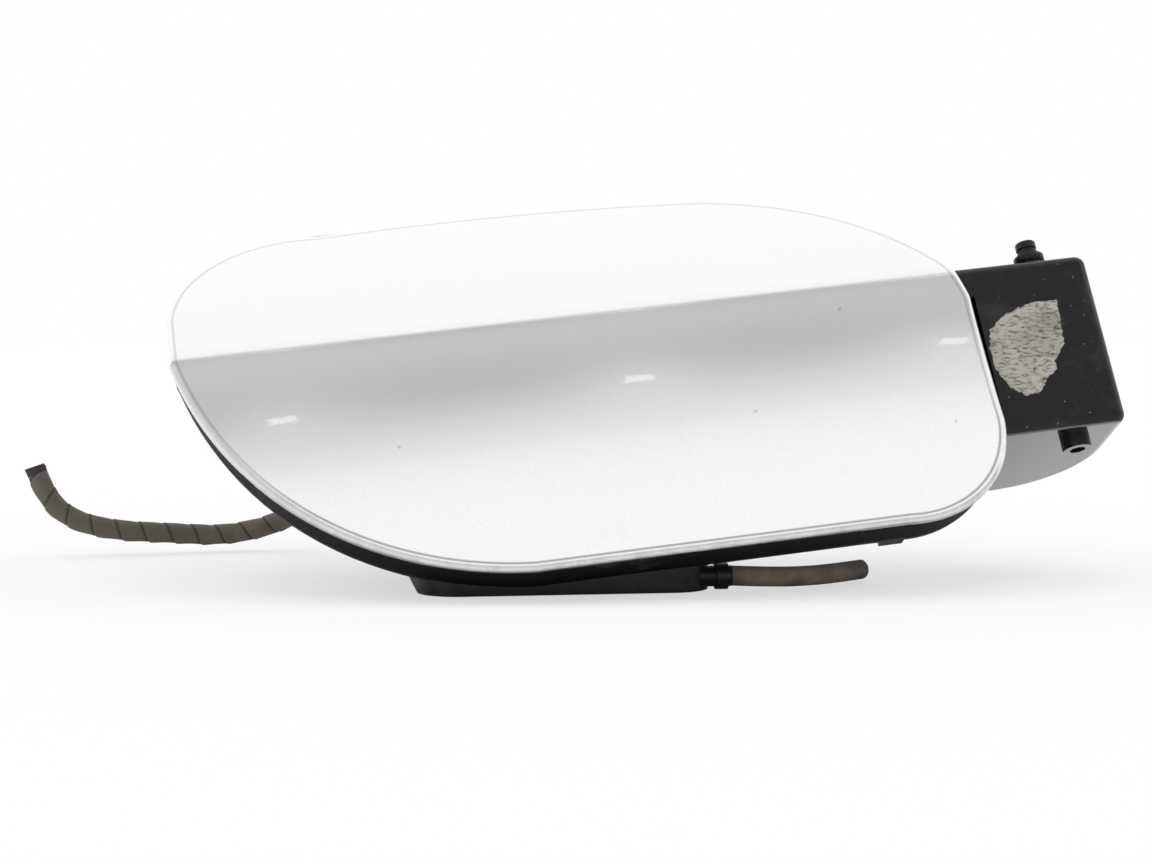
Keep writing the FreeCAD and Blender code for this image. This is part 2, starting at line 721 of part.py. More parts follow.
def filler_pocket():
    """One moulding: tray, rim flange, well, hinge box and drain spigot."""
    floor_depth = TRAY_DEPTH - POCKET_WALL
    flange_depth = SEAL_BOTTOM_DEPTH + SEAT_GAP
    tray_outer = layer(RIM_TOP_DEPTH, TRAY_DEPTH).common(column(TRAY_INSET))
    tray_inner = layer(0.0, floor_depth).common(column(TRAY_INSET + POCKET_WALL))
    flange = rim(FLANGE_INSET, TRAY_INSET + POCKET_WALL / 2.0, flange_depth, flange_depth + FLANGE_WALL)
    outer = fuse_all([tray_outer, flange, hinge_box_outer()] + snap_tabs())
    outer = outer.cut(flap_room())
    outer = in_row(outer)
    well_room = in_row(behind(floor_depth))
    well_outer = well_face(0.0, 0.0).extrude(vec(0.0, 0.0, REACH)).common(well_room)
    spigot_reach = HOSE_ROUTE[0][0] - SPIGOT_INNER_X
    spigot = rod(HOSE_ROUTE[0], (-1, 0, 0), SPIGOT_RADIUS, spigot_reach)
    outer = fuse_all([outer, well_outer, spigot])
    well_inner = well_face(POCKET_WALL, POCKET_WALL).extrude(vec(0.0, 0.0, REACH)).common(well_room)
    pocket = outer.cut(well_inner)
    pocket = pocket.cut(in_row(fuse_all([tray_inner, hinge_box_inner()])))
    pocket = pocket.cut(in_row(arm_slot()))
    pin_hole = rod((HINGE_U, BOX_BOTTOM - FRONT, HINGE_N), (0, 1, 0), PIN_RADIUS + PIN_FIT, 3.0 * FRONT)
    pocket = pocket.cut(in_row(pin_hole))
    through = POCKET_WALL + 2.0 * OVERCUT
    pocket = pocket.cut(rod((0, 0, -OVERCUT), (0, 0, 1), NECK_HOLE_RADIUS, through))
    pocket = pocket.cut(rod(HOSE_ROUTE[0], (-1, 0, 0), SPIGOT_BORE, spigot_reach + POCKET_WALL))
    pocket = pocket.cut(rod((-WELL_HALF_X - OVERCUT, LOCK_Y, LOCK_Z), (1, 0, 0), GROMMET_RADIUS, through))
    for y, z in lock_screw_places():
        hole = rod((-WELL_HALF_X - OVERCUT, y, z), (1, 0, 0), LOCK_SCREW_RADIUS + SCREW_HOLE_GAP, through)
        pocket = pocket.cut(hole)
    return pocket


def rim_seal():
    """Soft lip round the tray, open where the arm swings out and beside the hinge box."""
    seal = rim(SEAL_INSET, SEAL_INSET + SEAL_WALL, SEAL_TOP_DEPTH, SEAL_BOTTOM_DEPTH)
    box_room = block(
        (BOX_LEFT - SEAL_END_GAP, BOX_BOTTOM - SEAL_END_GAP, -REACH),
        (BOX_RIGHT, BOX_TOP + SEAL_END_GAP, FRONT),
    )
    return in_row(seal.cut(box_room))


def turned(points):
    """Solid turned about the neck axis from a profile of radius and height."""
    face = polygon_face([vec(radius, 0.0, height) for radius, height in points])
    return face.revolve(vec(0, 0, 0), vec(0, 0, 1), 360.0)


def neck_gaiter():
    """Rubber ring in the neck hole, with lips above and below the floor of the well."""
    outer = NECK_HOLE_RADIUS - SEAT_GAP
    inner = outer - GAITER_WALL
    lip_low = POCKET_WALL + SEAT_GAP
    return turned((
        (inner, 0.0),
        (outer, 0.0),
        (outer, lip_low),
        (outer + GAITER_LIP, lip_low),
        (outer + GAITER_LIP, lip_low + GAITER_LIP_WALL),
        (outer, lip_low + GAITER_LIP_WALL + GAITER_SLOPE),
        (outer, GAITER_HEIGHT),
        (inner + GAITER_CHAMFER, GAITER_HEIGHT),
        (inner, GAITER_HEIGHT - GAITER_CHAMFER),
    ))


def gaiter_band():
    inner = NECK_HOLE_RADIUS
    top = GAITER_HEIGHT - BAND_TOP_GAP
    return tube((0, 0, top), (0, 0, -1), inner + BAND_WALL, inner, BAND_WIDTH)


def hinge_pin():
    """Stepped pin: long shank, head on the top boss with a ring groove."""
    seat = BOX_TOP + TOP_BOSS_HEIGHT
    foot = BOX_BOTTOM - BOTTOM_BOSS_HEIGHT / 2.0
    shank = rod((HINGE_U, foot, HINGE_N), (0, 1, 0), PIN_RADIUS, seat - foot + OVERCUT)
    head = rod((HINGE_U, seat, HINGE_N), (0, 1, 0), PIN_HEAD_RADIUS, PIN_HEAD_HEIGHT)
    top_edges = [edge for edge in head.Edges if edge.Closed and edge.CenterOfMass.y > seat + PIN_HEAD_HEIGHT / 2.0]
    head = head.makeFillet(PIN_GROOVE, top_edges)
    groove = tube(
        (HINGE_U, seat + PIN_GROOVE_HEIGHT, HINGE_N), (0, 1, 0),
        PIN_HEAD_RADIUS + OVERCUT, PIN_HEAD_RADIUS - PIN_GROOVE, PIN_GROOVE * 2.0,
    )
    return in_row(fuse_all([shank, head]).cut(groove))


def coil_spring(wire_radius, coil_radius, pitch, turns):
    """Close-wound spring that stands on the origin along +Z, drawn as rings that touch."""
    neck = wire_radius * SPRING_NECK_SHARE
    outside = [(coil_radius + neck, 0.0)]
    inside = [(coil_radius - neck, 0.0)]
    for turn in range(turns):
        middle = pitch * (turn + 0.5)
        top = pitch * (turn + 1.0)
        outside += [(coil_radius + wire_radius, middle), (coil_radius + neck, top)]
        inside += [(coil_radius - wire_radius, middle), (coil_radius - neck, top)]
    return turned(outside + inside[::-1])


def hinge_spring():
    spring = coil_spring(SPRING_WIRE_RADIUS, SPRING_COIL_RADIUS, SPRING_PITCH, SPRING_TURNS)
    spring.rotate(vec(0, 0, 0), vec(1, 0, 0), -90.0)
    spring.translate(vec(HINGE_U, SPRING_START_V, HINGE_N))
    return in_row(spring)


def flap_buffers():
    """Rubber stops that stand on the tray and end just short of the inner panel."""
    floor_depth = TRAY_DEPTH - POCKET_WALL
    room = layer(BUFFER_TOP_DEPTH, floor_depth - SEAT_GAP)
    stops = []
    for u, v in BUFFER_PLACES:
        stops.append(rod((u, v, -REACH / 2.0), (0, 0, 1), BUFFER_RADIUS, REACH).common(room))
    return in_row(Part.makeCompound([solid for stop in stops for solid in stop.Solids]))


# Lock actuator

LOCK_FRONT = -WELL_HALF_X - LOCK_MOUNT_GAP
LOCK_BACK = LOCK_FRONT - LOCK_LENGTH
BOLT_TIP = -WELL_HALF_X + POCKET_WALL - BOLT_TIP_INSET


def lock_housing():
    """Case of the actuator, open at its back, with two ears."""
    half = LOCK_DEPTH / 2.0
    low = LOCK_Z - LOCK_HEIGHT / 2.0
    high = LOCK_Z + LOCK_HEIGHT / 2.0
    case = block((LOCK_BACK, LOCK_Y - half, low), (LOCK_FRONT, LOCK_Y + half, high))
    long_edges = [edge for edge in case.Edges if edge.BoundBox.XLength > LOCK_LENGTH - PICK]
    case = case.makeFillet(LOCK_EDGE_RADIUS, long_edges)
    ears = []
    for y, z in lock_screw_places():
        reach = LOCK_EAR_HEIGHT / 2.0
        ear = rod((LOCK_FRONT, y, z), (-1, 0, 0), reach, LOCK_EAR_WALL)
        neck = block((LOCK_FRONT - LOCK_EAR_WALL, y - reach, z), (LOCK_FRONT, y + reach, LOCK_Z))
        ears.append(ear.fuse(neck))
    room = block(
        (LOCK_BACK, LOCK_Y - half + LOCK_WALL, low + LOCK_WALL),
        (LOCK_FRONT - LOCK_EAR_WALL, LOCK_Y + half - LOCK_WALL, high - LOCK_WALL),
    )
    housing = fuse_all([case] + ears).cut(room)
    housing = housing.cut(rod((LOCK_BACK, LOCK_Y, LOCK_Z), (1, 0, 0), BOLT_RADIUS + BOLT_GAP, LOCK_LENGTH + OVERCUT))
    recess = rod((LOCK_FRONT, LOCK_Y, LOCK_Z), (-1, 0, 0), GROMMET_FLANGE_RADIUS + SEAT_GAP,
                 GROMMET_FLANGE_WALL + SEAT_GAP)
    housing = housing.cut(recess)
    for y, z in lock_screw_places():
        hole = rod((LOCK_BACK, y, z), (1, 0, 0), LOCK_SCREW_RADIUS + SCREW_HOLE_GAP, LOCK_LENGTH + OVERCUT)
        housing = housing.cut(hole)
    return housing


def lock_cover():
    """Cover of the actuator's back, with a spigot rim inside the case."""
    half = LOCK_DEPTH / 2.0
    low = LOCK_Z - LOCK_HEIGHT / 2.0
    high = LOCK_Z + LOCK_HEIGHT / 2.0
    plate = block(
        (LOCK_BACK - LOCK_COVER_WALL, LOCK_Y - half, low),
        (LOCK_BACK - SEAT_GAP, LOCK_Y + half, high),
    )
    corners = [edge for edge in plate.Edges if edge.BoundBox.XLength > LOCK_COVER_WALL / 2.0]
    plate = plate.makeFillet(LOCK_EDGE_RADIUS, corners)
    inset = LOCK_WALL + SEAT_GAP
    lip = block(
        (LOCK_BACK - LOCK_COVER_WALL / 2.0, LOCK_Y - half + inset, low + inset),
        (LOCK_BACK + LOCK_COVER_WALL, LOCK_Y + half - inset, high - inset),
    )
    hollow = block(
        (LOCK_BACK - SEAT_GAP, LOCK_Y - half + 2.0 * inset, low + 2.0 * inset),
        (LOCK_BACK + LOCK_COVER_WALL, LOCK_Y + half - 2.0 * inset, high - 2.0 * inset),
    )
    return fuse_all([plate, lip]).cut(hollow)


COIL_FRONT = LOCK_FRONT - LOCK_EAR_WALL - RETURN_SPRING_PITCH * (RETURN_SPRING_TURNS + 1)


def lock_coil():
    """Coil of the actuator, on a bobbin that stands on the floor of the case."""
    winding = tube((COIL_FRONT, LOCK_Y, LOCK_Z), (-1, 0, 0), COIL_OUTER_RADIUS, COIL_INNER_RADIUS, COIL_LENGTH)
    foot = block(
        (COIL_FRONT - COIL_LENGTH, LOCK_Y - COIL_FOOT_HALF, LOCK_Z - LOCK_HEIGHT / 2.0 + LOCK_WALL + SEAT_GAP),
        (COIL_FRONT, LOCK_Y + COIL_FOOT_HALF, LOCK_Z),
    )
    bore = rod((COIL_FRONT, LOCK_Y, LOCK_Z), (-1, 0, 0), COIL_INNER_RADIUS, COIL_LENGTH)
    return fuse_all([winding, foot.cut(bore)])


def lock_spring():
    """Return spring round the bolt, between the coil and the front wall of the case."""
    spring = coil_spring(
        RETURN_SPRING_WIRE, RETURN_SPRING_RADIUS, RETURN_SPRING_PITCH, RETURN_SPRING_TURNS
    )
    spring.rotate(vec(0, 0, 0), vec(0, 1, 0), 90.0)
    spring.translate(vec(COIL_FRONT + RETURN_SPRING_WIRE + SEAT_GAP, LOCK_Y, LOCK_Z))
    return spring


def lock_bolt():
    """Round bolt with a chamfered tip, drawn back at rest."""
    bolt = rod((BOLT_TIP, LOCK_Y, LOCK_Z), (-1, 0, 0), BOLT_RADIUS, BOLT_LENGTH)
    tip = [edge for edge in bolt.Edges if edge.Closed and edge.CenterOfMass.x > BOLT_TIP - PICK]
    return bolt.makeChamfer(BOLT_TIP_CHAMFER, tip)


def lock_grommet():
    """Rubber bush in the wall of the well, with a flange in the recess of the case."""
    outer = GROMMET_RADIUS - SEAT_GAP
    sleeve = rod((LOCK_FRONT, LOCK_Y, LOCK_Z), (1, 0, 0), outer, POCKET_WALL + LOCK_MOUNT_GAP)
    flange = rod((LOCK_FRONT, LOCK_Y, LOCK_Z), (-1, 0, 0), GROMMET_FLANGE_RADIUS, GROMMET_FLANGE_WALL)
    bore = rod(
        (LOCK_FRONT - GROMMET_FLANGE_WALL, LOCK_Y, LOCK_Z), (1, 0, 0), BOLT_RADIUS + BOLT_GAP,
        GROMMET_FLANGE_WALL + LOCK_MOUNT_GAP + POCKET_WALL,
    )
    return fuse_all([sleeve, flange]).cut(bore)


def lock_screws():
    """Screws through the ears into the wall of the well."""
    screws = []
    seat = LOCK_FRONT - LOCK_EAR_WALL
    length = LOCK_EAR_WALL + LOCK_MOUNT_GAP + POCKET_WALL
    for y, z in lock_screw_places():
        shank = rod((seat, y, z), (1, 0, 0), LOCK_SCREW_RADIUS, length)
        head = rod((seat, y, z), (-1, 0, 0), LOCK_SCREW_HEAD_RADIUS, LOCK_SCREW_HEAD_HEIGHT)
        screws.append(shank.fuse(head).removeSplitter())
    return Part.makeCompound(screws)


# Harness and drain hose

def cord_tube(route, radius):
    """Tube along straight runs that are joined by the largest arcs their lengths allow.

    Prints the radius of each arc, and the tube's volume over its section times its length.
    """
    points = [vec(*point) for point in route]
    edges = []
    radii = []
    here = points[0]
    for before, corner, after in zip(points, points[1:], points[2:]):
        back = before - corner
        ahead = after - corner
        turn = math.pi - back.getAngle(ahead)
        shorter = min(back.Length, ahead.Length)
        setback = CORD_SETBACK * shorter
        bend = setback / math.tan(turn / 2.0)
        radii.append(round(bend, 1))
        back.normalize()
        ahead.normalize()
        start = corner + back * setback
        end = corner + ahead * setback
        bisector = back + ahead
        bisector.normalize()
        middle = corner + bisector * (bend / math.cos(turn / 2.0) - bend)
        edges.append(line(here, start))
        edges.append(arc(start, middle, end))
        here = end
    edges.append(line(here, points[-1]))
    path = Part.Wire(edges)
    section = Part.Wire(Part.makeCircle(radius, points[0], points[1] - points[0]))
    solid = path.makePipeShell([section], True, False)
    length = sum(edge.Length for edge in edges)
    share = solid.Volume / (math.pi * radius ** 2 * length)
    print("cord length", round(length, 1), "radii", radii, "volume share", round(share, 4))
    return solid


def harness_plug():
    """Connector on the inner side of the actuator, with a neck round the loom."""
    x, y, z = HARNESS_ROUTE[0]
    start = LOCK_Y + LOCK_DEPTH / 2.0 + SEAT_GAP
    neck_start = y - PLUG_NECK_LENGTH
    body = block(
        (x - PLUG_WIDTH / 2.0, start, z - PLUG_HEIGHT / 2.0),
        (x + PLUG_WIDTH / 2.0, neck_start, z + PLUG_HEIGHT / 2.0),
    )
    neck = rod((x, neck_start, z), (0, 1, 0), PLUG_NECK_RADIUS, PLUG_NECK_LENGTH)
    return fuse_all([body, neck])


def wiring_harness():
    return cord_tube(HARNESS_ROUTE, HARNESS_RADIUS)


def drain_hose():
    return cord_tube(HOSE_ROUTE, HOSE_RADIUS)


def hose_clip():
    """Spring clip on the end of the spigot."""
    x, y, z = HOSE_ROUTE[0]
    inner = SPIGOT_RADIUS + CLIP_GAP
    return tube((x - CLIP_END_GAP, y, z), (-1, 0, 0), inner + CLIP_WALL, inner, CLIP_WIDTH)


NODES = (
    filler_pocket,
    rim_seal,
    neck_gaiter,
    gaiter_band,
    hinge_pin,
    hinge_spring,
    flap_buffers,
    lock_housing,
    lock_cover,
    lock_coil,
    lock_spring,
    lock_bolt,
    lock_grommet,
    lock_screws,
    harness_plug,
    wiring_harness,
    drain_hose,
    hose_clip,
    flap_skin,
    flap_panel,
    hinge_arm,
    arm_screws,
    lock_striker,
    cap_holder,
)

os.makedirs(PARTS_FOLDER, exist_ok=True)
for make in NODES:
    shape = make()
    shape.exportStep(os.path.join(PARTS_FOLDER, make.__name__ + ".step"))
    box = shape.BoundBox
    print(
        make.__name__, "solids", len(shape.Solids), "valid", shape.isValid(), "volume", round(shape.Volume, 1),
        "x", round(box.XMin, 1), round(box.XMax, 1), "y", round(box.YMin, 1), round(box.YMax, 1),
        "z", round(box.ZMin, 1), round(box.ZMax, 1),
    )
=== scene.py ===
"""Fuel filler flap unit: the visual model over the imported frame, in metres in the row frame."""
import logging
import math
from dataclasses import dataclass, field
from enum import Enum

import bpy
import numpy as np
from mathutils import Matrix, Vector


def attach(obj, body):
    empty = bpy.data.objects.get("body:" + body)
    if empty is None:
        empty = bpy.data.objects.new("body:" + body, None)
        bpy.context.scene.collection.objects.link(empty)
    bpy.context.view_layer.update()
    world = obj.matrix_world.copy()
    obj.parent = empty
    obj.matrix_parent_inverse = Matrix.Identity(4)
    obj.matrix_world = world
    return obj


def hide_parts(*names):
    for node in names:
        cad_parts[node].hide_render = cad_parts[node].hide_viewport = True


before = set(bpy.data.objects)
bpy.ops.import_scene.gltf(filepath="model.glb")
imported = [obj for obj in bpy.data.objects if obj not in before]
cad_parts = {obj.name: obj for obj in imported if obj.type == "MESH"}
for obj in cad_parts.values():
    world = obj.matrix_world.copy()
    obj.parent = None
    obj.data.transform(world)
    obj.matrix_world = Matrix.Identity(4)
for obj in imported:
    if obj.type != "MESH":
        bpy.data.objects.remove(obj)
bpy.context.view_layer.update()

LOG = logging.getLogger("filler_flap")
MM = 0.001
FULL_TURN = 2.0 * math.pi
WHITE = (1.0, 1.0, 1.0, 1.0)

Colour = tuple[float, float, float]
Point = tuple[float, float, float]
Stops = tuple[tuple[float, float], ...]
Socket = bpy.types.NodeSocket


class Body(Enum):
    """Rigid bodies that carry modelled pieces."""

    POCKET = "pocket"
    FLAP = "flap"


class Grain(Enum):
    """Surface grain of a finish."""

    SMOOTH = "smooth"
    MOULDED = "moulded"
    SOFT = "soft"
    TAPE = "tape"
    PAINT = "paint"
    PAPER = "paper"


@dataclass(frozen=True)
class Finish:
    """A finish of one material slot.

    Args:
        name: Name of the material.
        base: Linear base colour.
        roughness: Roughness of the clean surface.
        metallic: Metallic share.
        coat: Weight of the clear coat.
        grain: Kind of surface grain.
        dust: Share of the surface that dust covers.
        dust_colour: Linear colour of the dust.
        specular: Level of the surface reflection.
    """

    name: str
    base: Colour
    roughness: float
    metallic: float = 0.0
    coat: float = 0.0
    grain: Grain = Grain.SMOOTH
    dust: float = 0.0
    dust_colour: Colour = (0.30, 0.27, 0.22)
    specular: float = 0.5


SILVER = Finish(
    "silver_paint", (0.80, 0.805, 0.815), 0.17, metallic=0.8, coat=0.6, grain=Grain.PAINT,
    dust=0.04, dust_colour=(0.55, 0.54, 0.50),
)
BLACK_PLASTIC = Finish(
    "black_plastic", (0.008, 0.008, 0.009), 0.36, grain=Grain.MOULDED, dust=0.16, specular=0.28,
)
GLOSS_WALL = Finish("gloss_wall", (0.012, 0.012, 0.013), 0.06, coat=1.0, dust=0.25, specular=0.9)
PIN_BLACK = Finish("pin_black", (0.012, 0.012, 0.013), 0.30, dust=0.25, specular=0.3)
BLACK_RUBBER = Finish(
    "black_rubber", (0.006, 0.006, 0.007), 0.60, grain=Grain.SOFT, dust=0.12, specular=0.12,
)
DUSTY_RUBBER = Finish(
    "dusty_rubber", (0.075, 0.063, 0.050), 0.78, grain=Grain.SOFT,
    dust=0.75, dust_colour=(0.24, 0.205, 0.16),
)
STEEL = Finish("steel", (0.50, 0.50, 0.51), 0.34, metallic=1.0, dust=0.15)
COPPER = Finish("copper_wire", (0.46, 0.20, 0.08), 0.36, metallic=1.0)
BOLT_PLASTIC = Finish("bolt_plastic", (0.62, 0.61, 0.57), 0.38)
LOOM_TAPE = Finish(
    "loom_tape", (0.125, 0.111, 0.090), 0.86, grain=Grain.TAPE,
    dust=0.55, dust_colour=(0.21, 0.185, 0.145),
)
PAPER = Finish(
    "paper", (0.50, 0.48, 0.43), 0.85, grain=Grain.PAPER,
    dust=0.5, dust_colour=(0.25, 0.235, 0.21), specular=0.2,
)

NODE_FINISH: dict[str, Finish] = {
    "filler_pocket": BLACK_PLASTIC,
    "rim_seal": BLACK_RUBBER,
    "neck_gaiter": BLACK_RUBBER,
    "gaiter_band": STEEL,
    "hinge_pin": PIN_BLACK,
    "hinge_spring": STEEL,
    "flap_buffers": BLACK_RUBBER,
    "lock_housing": BLACK_PLASTIC,
    "lock_cover": BLACK_PLASTIC,
    "lock_coil": COPPER,
    "lock_spring": STEEL,
    "lock_bolt": BOLT_PLASTIC,
    "lock_grommet": BLACK_RUBBER,
    "lock_screws": STEEL,
    "harness_plug": BLACK_PLASTIC,
    "hose_clip": PIN_BLACK,
    "flap_panel": BLACK_PLASTIC,
    "hinge_arm": BLACK_PLASTIC,
    "arm_screws": STEEL,
    "lock_striker": BLACK_PLASTIC,
    "cap_holder": BLACK_PLASTIC,
}

LOOM_ROUTE: tuple[Point, ...] = (
    (-51.5, 37.0, 30.0), (-53.0, 51.0, 23.0), (-59.0, 62.0, 13.5), (-70.0, 67.5, 7.2), (-84.0, 67.0, 4.3),
    (-99.0, 64.0, 5.6), (-113.0, 62.0, 6.6), (-125.0, 61.0, 9.4), (-133.0, 61.0, 16.0), (-136.0, 61.5, 25.0),
)
HOSE_ROUTE: tuple[Point, ...] = (
    (41.0, -35.0, 3.4), (50.0, -35.6, 3.0), (59.6, -33.4, 2.7), (69.3, -28.3, 2.7), (77.6, -21.6, 2.7),
)


class NodeBuilder:
    """Small builder of nodes in one node tree."""

    def __init__(self, tree: bpy.types.NodeTree) -> None:
        """Empties the tree.

        Args:
            tree: The node tree to fill.
        """
        self.tree = tree
        self.tree.nodes.clear()

    def node(self, kind: str) -> bpy.types.Node:
        """Adds a node of one kind."""
        return self.tree.nodes.new(kind)

    def link(self, source: Socket, target: Socket) -> None:
        """Joins an output to an input."""
        self.tree.links.new(source, target)

    def ramp(self, value: Socket, stops: Stops) -> Socket:
        """Grey ramp over a value.

        Args:
            value: The value.
            stops: Pairs of position and grey value.

        Returns:
            The colour output.
        """
        node = self.node("ShaderNodeValToRGB")
        elements = node.color_ramp.elements
        while len(elements) < len(stops):
            elements.new(0.5)
        for element, (place, grey) in zip(elements, stops):
            element.position = place
            element.color = (grey, grey, grey, 1.0)
        self.link(value, node.inputs["Fac"])
        return node.outputs["Color"]

    def math(self, kind: str, first: Socket, second: Socket | float) -> Socket:
        """Arithmetic on a value and a second value or constant.

        Args:
            kind: Operation.
            first: First value.
            second: Second value, or a constant.

        Returns:
            The result.
        """
        node = self.node("ShaderNodeMath")
        node.operation = kind
        self.link(first, node.inputs[0])
        if isinstance(second, float):
            node.inputs[1].default_value = second
        else:
            self.link(second, node.inputs[1])
        return node.outputs["Value"]

    def blend(self, factor: Socket, first: Socket, second: Socket) -> Socket:
        """Mix of two shaders.

        Args:
            factor: Share of the second shader.
            first: First shader.
            second: Second shader.

        Returns:
            The mixed shader.
        """
        node = self.node("ShaderNodeMixShader")
        for number, source in enumerate((factor, first, second)):
            self.link(source, node.inputs[number])
        return node.outputs["Shader"]


class Shader(NodeBuilder):
    """Builder of a material on Object coordinates."""

    MIX_FACTOR, MIX_FIRST, MIX_SECOND, MIX_RESULT = 0, 6, 7, 2

    def __init__(self, name: str) -> None:
        """Starts a material with its shader and output.

        Args:
            name: Name of the material.
        """
        self.material = bpy.data.materials.new(name)
        self.material.use_nodes = True
        super().__init__(self.material.node_tree)
        self.out = self.node("ShaderNodeOutputMaterial")
        self.bsdf = self.node("ShaderNodeBsdfPrincipled")
        self.link(self.bsdf.outputs["BSDF"], self.out.inputs["Surface"])
        self.coord = self.node("ShaderNodeTexCoord").outputs["Object"]

    def noise(self, scale: float, detail: float, rough: float = 0.55, place: Socket | None = None) -> Socket:
        """Noise on Object coordinates.

        Args:
            scale: Cells per metre.
            detail: Octaves.
            rough: Weight of the finer octaves.
            place: Other coordinates to read.

        Returns:
            The noise value.
        """
        node = self.node("ShaderNodeTexNoise")
        node.inputs["Scale"].default_value = scale
        node.inputs["Detail"].default_value = detail
        node.inputs["Roughness"].default_value = rough
        self.link(place or self.coord, node.inputs["Vector"])
        return node.outputs["Fac"]

    def attribute(self, name: str) -> Socket:
        """Value that the mesh holds at each vertex.

        Args:
            name: Name of the attribute.

        Returns:
            The value.
        """
        node = self.node("ShaderNodeAttribute")
        node.attribute_name = name
        return node.outputs["Fac"]

    def mix(self, factor: Socket, first: Colour | Socket, second: Colour) -> Socket:
        """Mix of two colours.

        Args:
            factor: Share of the second colour.
            first: First colour, or the result of another mix.
            second: Second colour.

        Returns:
            The mixed colour.
        """
        node = self.node("ShaderNodeMix")
        node.data_type = "RGBA"
        self.link(factor, node.inputs[self.MIX_FACTOR])
        if isinstance(first, tuple):
            node.inputs[self.MIX_FIRST].default_value = (*first, 1.0)
        else:
            self.link(first, node.inputs[self.MIX_FIRST])
        node.inputs[self.MIX_SECOND].default_value = (*second, 1.0)
        return node.outputs[self.MIX_RESULT]

    def bump(self, height: Socket, depth: float, strength: float) -> None:
        """Bump from a height.

        Args:
            height: The height.
            depth: Height of the relief in metres.
            strength: Share of the relief.
        """
        node = self.node("ShaderNodeBump")
        node.inputs["Distance"].default_value = depth
        node.inputs["Strength"].default_value = strength
        self.link(height, node.inputs["Height"])
        self.link(node.outputs["Normal"], self.bsdf.inputs["Normal"])


